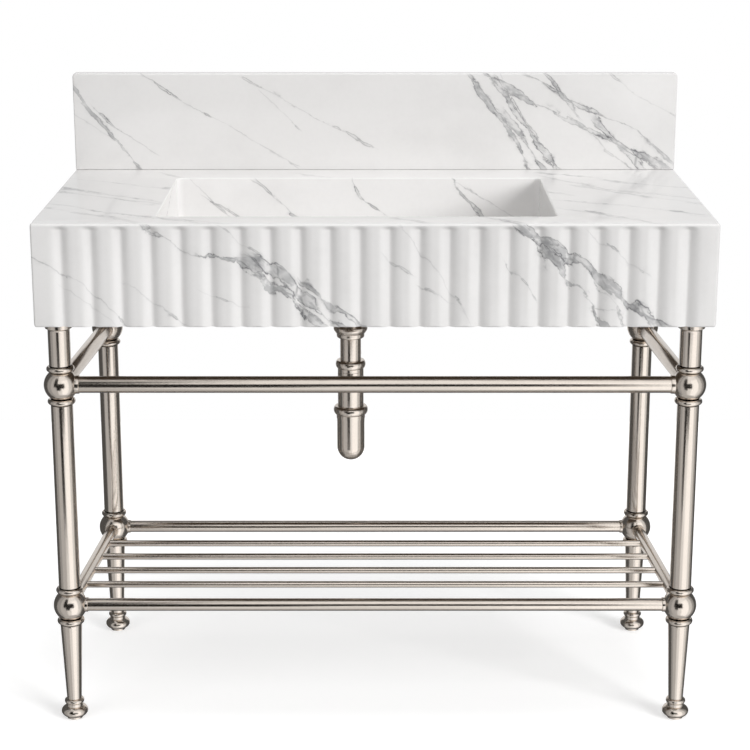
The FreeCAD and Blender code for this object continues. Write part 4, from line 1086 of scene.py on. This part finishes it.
def collar_shape(ball, toward, radius, stand):
    """A thin collar round a rail where it leaves a ball. It reaches in past the ball's surface, which it
    meets at sqrt(R² - r²) from the middle, with R the ball's radius and r its own."""
    outer = radius + stand.collar_rise
    sunk = float(np.sqrt(stand.ball_radius ** 2 - outer ** 2)) - stand.collar_sink
    face = stand.ball_radius + stand.collar_width
    profile = eased([(radius, sunk), (outer, sunk), (outer, face), (radius, face)], COLLAR_EDGE)
    return along(lathe(profile, True, TUBE_COUNT), ball, toward - ball)


class CONSOLE_OT_rails(bpy.types.Operator):
    """Build the rails, their collars and the shelf's bars"""
    bl_idname = "console.rails"
    bl_label = "Rails and Shelf"

    def execute(self, context):
        stand = context.scene.console_stand
        collars = []
        for level, ways in RAIL_WAYS.items():
            radius = half(f"{level}_front_rail")[2]
            seat = box(f"{level}_front_rail")[0][0] - ball_middle("front_left", level)[0]
            for way in ways:
                start, end = (ball_middle(corner, level) for corner in RAIL_ENDS[way])
                inset = (end - start) / np.linalg.norm(end - start) * seat
                node = f"{level}_{way}_rail"
                shape = tube_between(start + inset, end - inset, radius, stand.rail_wall)
                metal_piece(f"tube_{node}", shape, node)
                collars += [collar_shape(*ends, radius, stand) for ends in ((start, end), (end, start))]
        metal_piece("tube_collars", merged(*collars), "rail_collars")
        for number in range(BAR_COUNT):
            node = f"shelf_bar_{number + 1}"
            reach, _, radius = half(node)
            profile = eased([(0, -reach), (radius, -reach), (radius, reach), (0, reach)], SOFT_EDGE,
                            closed=False)
            shape = along(lathe(profile, False, TUBE_COUNT), middle(node), (1, 0, 0))
            metal_piece(f"rod_{node}", shape, node)
        return {"FINISHED"}


def bulged(node, foot, neck):
    """The outside of a ring with a plain foot and a bulge over it, half an ellipse in section. The foot
    takes a share of the ring's height."""
    low, high = heights(node)
    step = low + foot * (high - low)
    bulge = arc((neck, (step + high) / 2), (half(node)[0] - neck, (high - step) / 2), -90, 90, BULGE_COUNT)
    return np.vstack([[(neck, low)], bulge])


def stopper_profile(node, drain):
    """The stopper: a stem under a cap with a straight rim and a crown, part of an ellipse in section."""
    low, high = heights(node)
    rim = half(node)[0]
    crown_low = high - drain.stopper_crown
    cap_low = crown_low - drain.stopper_rim
    crown = arc((0, crown_low), (rim, drain.stopper_crown), 8, 88, CROWN_COUNT)
    return np.vstack([[(0, low), (drain.stem_radius, low), (drain.stem_radius, cap_low),
                       (rim - SOFT_EDGE, cap_low), (rim, cap_low + SOFT_EDGE)], crown, [(0, high)]])


def outlet_collar_profile(node, drain):
    """The collar under the basin: a narrow ring below, a step, and a slant out to the widest ring."""
    low, high = heights(node)
    wide, pipe = half(node)[0], half("tailpiece")[0]
    step = low + drain.collar_step
    return eased([(pipe, low), (drain.collar_narrow, low), (drain.collar_narrow, step),
                  (wide - drain.collar_slant, step), (wide, high - drain.collar_band), (wide, high),
                  (pipe, high)], COLLAR_EASES, EDGE_COUNT)


class CONSOLE_OT_waste(bpy.types.Operator):
    """Build the stopper, the outlet collar and the tailpiece, and finish the waste"""
    bl_idname = "console.waste"
    bl_label = "Waste"

    def execute(self, context):
        drain = context.scene.console_drain
        stopper = upright(stopper_profile("drain_stopper", drain), "drain_stopper", False)
        metal_piece("turned_stopper", stopper, "drain_stopper", "stopper")
        turned_piece("outlet_collar", outlet_collar_profile("outlet_collar", drain))
        pipe = half("tailpiece")[0]
        tail = sleeve(*heights("tailpiece"), pipe, pipe - drain.pipe_wall, count=ARC_COUNT)
        turned_piece("tailpiece", tail)
        finish_nodes(bpy.data.materials["polished_nickel"], "waste_body", "waste_lock_nut")
        finish_nodes(rubber("dusty_rubber", drain.rubber, drain.rubber_dust), "waste_gasket", "cup_seal")
        return {"FINISHED"}


def nut_profile(node, drain):
    """The slip nut: a bulged ring round the tailpiece."""
    low, high = heights(node)
    pipe = half("tailpiece")[0]
    return np.vstack([[(pipe, low)], bulged(node, drain.nut_foot, drain.barrel_radius), [(pipe, high)]])


def trap_body_shape(drain, axis, arm_radius):
    """The trap's body, turned about its upright axis with a narrow neck on top, and behind it the outlet,
    a sleeve turned about the arm's axis."""
    low, high = heights("trap_body")
    top = low + drain.barrel_height
    pipe = half("tailpiece")[0]
    barrel = eased([(pipe, low), (drain.barrel_radius, low), (drain.barrel_radius, top),
                    (drain.nut_neck, top), (drain.nut_neck, high), (pipe, high)], BARREL_EASES)
    boss = sleeve(drain.barrel_radius / 2, drain.boss_length, drain.boss_radius, arm_radius,
                  drain.boss_edge, ARC_COUNT)
    return merged(upright(barrel, "inlet_nut"), along(lathe(boss), axis, (0, 1, 0)))


def rose_shape(drain, axis, arm_radius):
    """The flange at the wall: a low cone turned about the arm, with a straight outer edge."""
    low, high = box("wall_flange")
    deep, wide = high[1] - low[1], half("wall_flange")[2]
    profile = eased([(arm_radius, 0), (arm_radius + drain.rose_lip, 0), (wide, deep - drain.rose_edge),
                     (wide, deep), (arm_radius, deep)], ROSE_EASES, EDGE_COUNT)
    return along(lathe(profile), (axis[0], low[1], axis[2]), (0, 1, 0))


def ring_profile(node, drain):
    """The trap's ring: a bulged ring, with a narrow bore above the cup's edge and a wide one below it."""
    low, high = heights(node)
    cup_top = heights("trap_cup")[1]
    return np.vstack([[(drain.cup_bore, low)], bulged(node, drain.ring_foot, drain.ring_neck),
                      [(drain.ring_bore, high), (drain.ring_bore, cup_top), (drain.cup_bore, cup_top)]])


def cup_profile(node, drain):
    """The trap's cup: half a ball under a short tube, with a wall of even thickness."""
    low, high = heights(node)
    radius = half(node)[0]
    inside, centre = radius - drain.cup_wall, low + radius
    outside = arc((0, centre), (radius, radius), -89, 0, BUN_COUNT)
    hollow = arc((0, centre), (inside, inside), 0, -89, BUN_COUNT)
    return np.vstack([[(0, low)], outside, [(radius, high), (inside, high)], hollow, [(0, centre - inside)]])


class CONSOLE_OT_trap(bpy.types.Operator):
    """Build the bottle trap and its arm to the wall"""
    bl_idname = "console.trap"
    bl_label = "Trap"

    def execute(self, context):
        drain = context.scene.console_drain
        arm_radius = half("trap_arm")[2]
        axis = np.array([*middle("inlet_nut")[:2], middle("trap_arm")[2]])
        start, end = (np.array([axis[0], corner[1], axis[2]]) for corner in box("trap_arm"))
        turned_piece("inlet_nut", nut_profile("inlet_nut", drain))
        metal_piece("turned_trap_body", trap_body_shape(drain, axis, arm_radius), "trap_body")
        metal_piece("tube_trap_arm", tube_between(start, end, arm_radius, drain.pipe_wall), "trap_arm")
        metal_piece("turned_wall_flange", rose_shape(drain, axis, arm_radius), "wall_flange")
        turned_piece("trap_ring", ring_profile("trap_ring", drain), "cup")
        turned_piece("trap_cup", cup_profile("trap_cup", drain), "cup", closed=False)
        return {"FINISHED"}


class CONSOLE_OT_underside(bpy.types.Operator):
    """Finish the hidden board, blocks and studs under the stone"""
    bl_idname = "console.underside"
    bl_label = "Underside"

    def execute(self, context):
        drain = context.scene.console_drain
        finish_nodes(board("plain_board", drain.board, drain.board_dark), "underside_panel", "corner_blocks")
        finish_nodes(polished("plated_steel", drain.steel, drain.steel_dark, scale=90), "leg_studs")
        return {"FINISHED"}


# Lights: where each stands and its width, in metres. They all face one point over the floor's middle.
LAMPS = {"key": ((8.6, -8.6, 5.2), 5.1), "fill": ((-2.6, -2.4, 1.7), 2.0), "top": ((0.3, -0.2, 3.4), 2.4)}
LAMP_AIM = Vector((0, 0, 0.75))
# The floor's two corners in x and y and its height, in metres.
FLOOR_LOW, FLOOR_HIGH = (-2.6, -0.95), (2.6, 1.55)
FLOOR_HEIGHT = -0.0004
# The squared distances from the floor's middle between which its glow comes up, in square metres.
# The weaker glow nearer the middle is a painted shadow under the part.
GLOW_RANGE = (0.05, 1.1)
# Cards that only reflections see: degrees to the right of the front, degrees up, and brightness.
CARDS = {
    "card_spot": ((-42, -17), (-4, 50), 0.0),
    "card_low": ((-18, 10), (-60, -22), 0.86),
    "card_glow": ((10, 58), (-60, 40), 1.25),
    "card_low_right": ((58, 84), (-60, -22), 0.86),
    "card_left": ((-62, -18), (-60, 66), 0.52),
    "card_left_edge": ((-108, -62), (-60, 66), 0.36),
    "card_left_rear": ((-150, -108), (-60, 66), 0.1),
    "card_right": ((58, 84), (-22, 66), 0.74),
    "card_right_edge": ((84, 105), (-60, 66), 0.36),
    "card_right_rear": ((105, 150), (-60, 66), 0.1),
    "card_rear": ((150, 210), (-30, 28), 0.75),
    "card_rear_high": ((150, 210), (28, 66), 0.12),
    "card_rear_low": ((150, 210), (-60, -30), 0.08),
    "card_top": ((-180, 180), (73, 90), 0.05),
    "card_under": ((-105, 105), (-90, -60), 0.5),
    "card_under_rear": ((105, 255), (-90, -60), 0.15),
}
CARD_MIDDLE = 0.5  # height of the middle of the cards' ball, in metres
CARD_STEP = 0.1  # how far each card lies behind the one before it, in metres
# Upright cards near the part: x and y of both edges, foot and top, in metres, and brightness.
FLAGS = {
    "flag_stripe": ((-1.6, -2.9), (-0.28, -2.9), -0.74, 1.5, 0.0),
    "flag_band": ((-0.28, -2.9), (1.15, -2.9), -0.02, 1.62, 0.0),
    "flag_left": ((-1.3, -0.2), (-1.3, 1.6), -1.6, 2.2, 0.09),
    "flag_right": ((1.3, 0.02), (1.3, 1.6), -1.6, 2.2, 0.09),
}


def stage_item(name, points, material):
    """A part of the stage from a grid of points."""
    mesh = bpy.data.meshes.new(name)
    mesh.from_pydata(points.reshape(-1, 3).tolist(), [], grid_faces(*points.shape[:2]))
    mesh.materials.append(material)
    item = bpy.data.objects.new(name, mesh)
    bpy.context.scene.collection.objects.link(item)
    return item


def card_shape(distance, turn, rise):
    """A patch of a wide ball round the part: (R cos e sin a, -R cos e cos a, h + R sin e)."""
    turn = np.radians(np.linspace(*turn, CARD_COUNT))[:, None]
    rise = np.radians(np.linspace(*rise, CARD_COUNT))[None, :]
    return np.stack([distance * np.cos(rise) * np.sin(turn), -distance * np.cos(rise) * np.cos(turn),
                     CARD_MIDDLE + distance * np.sin(rise) + 0 * turn], -1)


def add_card(name, points, shade, stage):
    """A card that shines evenly in one shade and that only reflections see."""
    tone = [max(shade, dark) for dark in stage.card]
    glow = Graph(name).surface(Base_Color=(0, 0, 0, 1), Emission_Color=(*tone, 1), Emission_Strength=1.0,
                               Specular_IOR_Level=0.0)
    card = stage_item(name, points, glow)
    for ray in ("camera", "diffuse", "transmission", "volume_scatter", "shadow"):
        setattr(card, f"visible_{ray}", False)


def add_lamp(name, place, size, power):
    """A square area light, kept out of reflections."""
    data = bpy.data.lights.new(name, "AREA")
    data.shape, data.size, data.energy = "SQUARE", size, power
    item = bpy.data.objects.new(name, data)
    item.location = place
    item.rotation_euler = (LAMP_AIM - Vector(place)).to_track_quat("-Z", "Y").to_euler()
    item.visible_glossy = False
    bpy.context.scene.collection.objects.link(item)


class CONSOLE_OT_stage(bpy.types.Operator):
    """Set up the floor, the cards, the lights, the surroundings and the camera"""
    bl_idname = "console.stage"
    bl_label = "Stage"

    def execute(self, context):
        scene, stage = context.scene, context.scene.console_stage
        graph = Graph("stage_floor")
        # The glow is weaker near the middle, which paints a soft shadow under the part.
        away = graph.dot(graph.place, graph.place).step(*GLOW_RANGE)
        bright = graph.seen() * (stage.floor_shade + (1 - stage.floor_shade) * away)
        ground = graph.surface(Base_Color=(*stage.floor, 1), Roughness=0.9, Specular_IOR_Level=0.0,
                               Emission_Color=graph.blend(bright, (0, 0, 0), (1, 1, 1)),
                               Emission_Strength=stage.floor_glow)
        corners = np.meshgrid(*zip(FLOOR_LOW, FLOOR_HIGH), FLOOR_HEIGHT, indexing="ij")
        floor = stage_item("stage_floor", np.stack(corners, -1)[:, :, 0], ground)
        floor.visible_glossy = False
        for number, (name, (turn, rise, shade)) in enumerate(CARDS.items()):
            add_card(name, card_shape(stage.surround + CARD_STEP * number, turn, rise), shade, stage)
        for name, (start, end, low, high, shade) in FLAGS.items():
            edges = [[(*edge, low), (*edge, high)] for edge in (start, end)]
            add_card(name, np.array(edges), shade, stage)
        for name, (place, size) in LAMPS.items():
            add_lamp(f"{name}_light", place, size, getattr(stage, f"{name}_power"))
        world = bpy.data.worlds.new("stage_world")
        world.use_nodes = True
        sky = Tree(world.node_tree)
        background = world.node_tree.nodes["Background"]
        sky.feed(background.inputs["Color"], (1, 1, 1, 1))
        sky.feed(background.inputs["Strength"], stage.sky + (1 - stage.sky) * sky.seen())
        scene.world = world
        scene.view_settings.view_transform = "Standard"
        data = bpy.data.cameras.new("stage_camera")
        data.lens, data.shift_y = stage.camera_lens, stage.camera_shift
        camera = bpy.data.objects.new("stage_camera", data)
        camera.location = (0, -stage.camera_distance, stage.camera_height)
        camera.rotation_euler = (np.radians(90) - stage.camera_tilt, 0, 0)
        scene.collection.objects.link(camera)
        scene.camera = camera
        return {"FINISHED"}


OPERATORS = (CONSOLE_OT_front, CONSOLE_OT_slabs, CONSOLE_OT_bowl, CONSOLE_OT_legs, CONSOLE_OT_rails,
             CONSOLE_OT_waste, CONSOLE_OT_trap, CONSOLE_OT_underside, CONSOLE_OT_stage)
SETTINGS = {"console_stone": StoneSettings, "console_stand": StandSettings, "console_drain": DrainSettings,
            "console_stage": StageSettings}


class CONSOLE_PT_panel(bpy.types.Panel):
    """The sidebar panel with all operators and settings"""
    bl_idname = "CONSOLE_PT_panel"
    bl_label = "Console Sink"
    bl_space_type = "VIEW_3D"
    bl_region_type = "UI"
    bl_category = "Console Sink"

    def draw(self, context):
        for operator in OPERATORS:
            self.layout.operator(operator.bl_idname)
        for name in SETTINGS:
            group = getattr(context.scene, name)
            column = self.layout.column(heading=group.bl_rna.description)
            for key in group.bl_rna.properties.keys():
                if key not in ("rna_type", "name"):
                    column.prop(group, key)


def register():
    """Registers the settings, the operators and the panel."""
    for name, group in SETTINGS.items():
        bpy.utils.register_class(group)
        setattr(bpy.types.Scene, name, PointerProperty(type=group))
    for item in (*OPERATORS, CONSOLE_PT_panel):
        bpy.utils.register_class(item)


def unregister():
    """Takes the panel, the operators and the settings away again."""
    for item in (CONSOLE_PT_panel, *reversed(OPERATORS)):
        bpy.utils.unregister_class(item)
    for name, group in reversed(SETTINGS.items()):
        delattr(bpy.types.Scene, name)
        bpy.utils.unregister_class(group)


def main():
    """Registers the add-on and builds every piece."""
    register()
    for operator in OPERATORS:
        group, name = operator.bl_idname.split(".")
        if getattr(getattr(bpy.ops, group), name)() != {"FINISHED"}:
            raise RuntimeError(f"{operator.bl_label} did not finish")


if __name__ == "__main__":
    main()
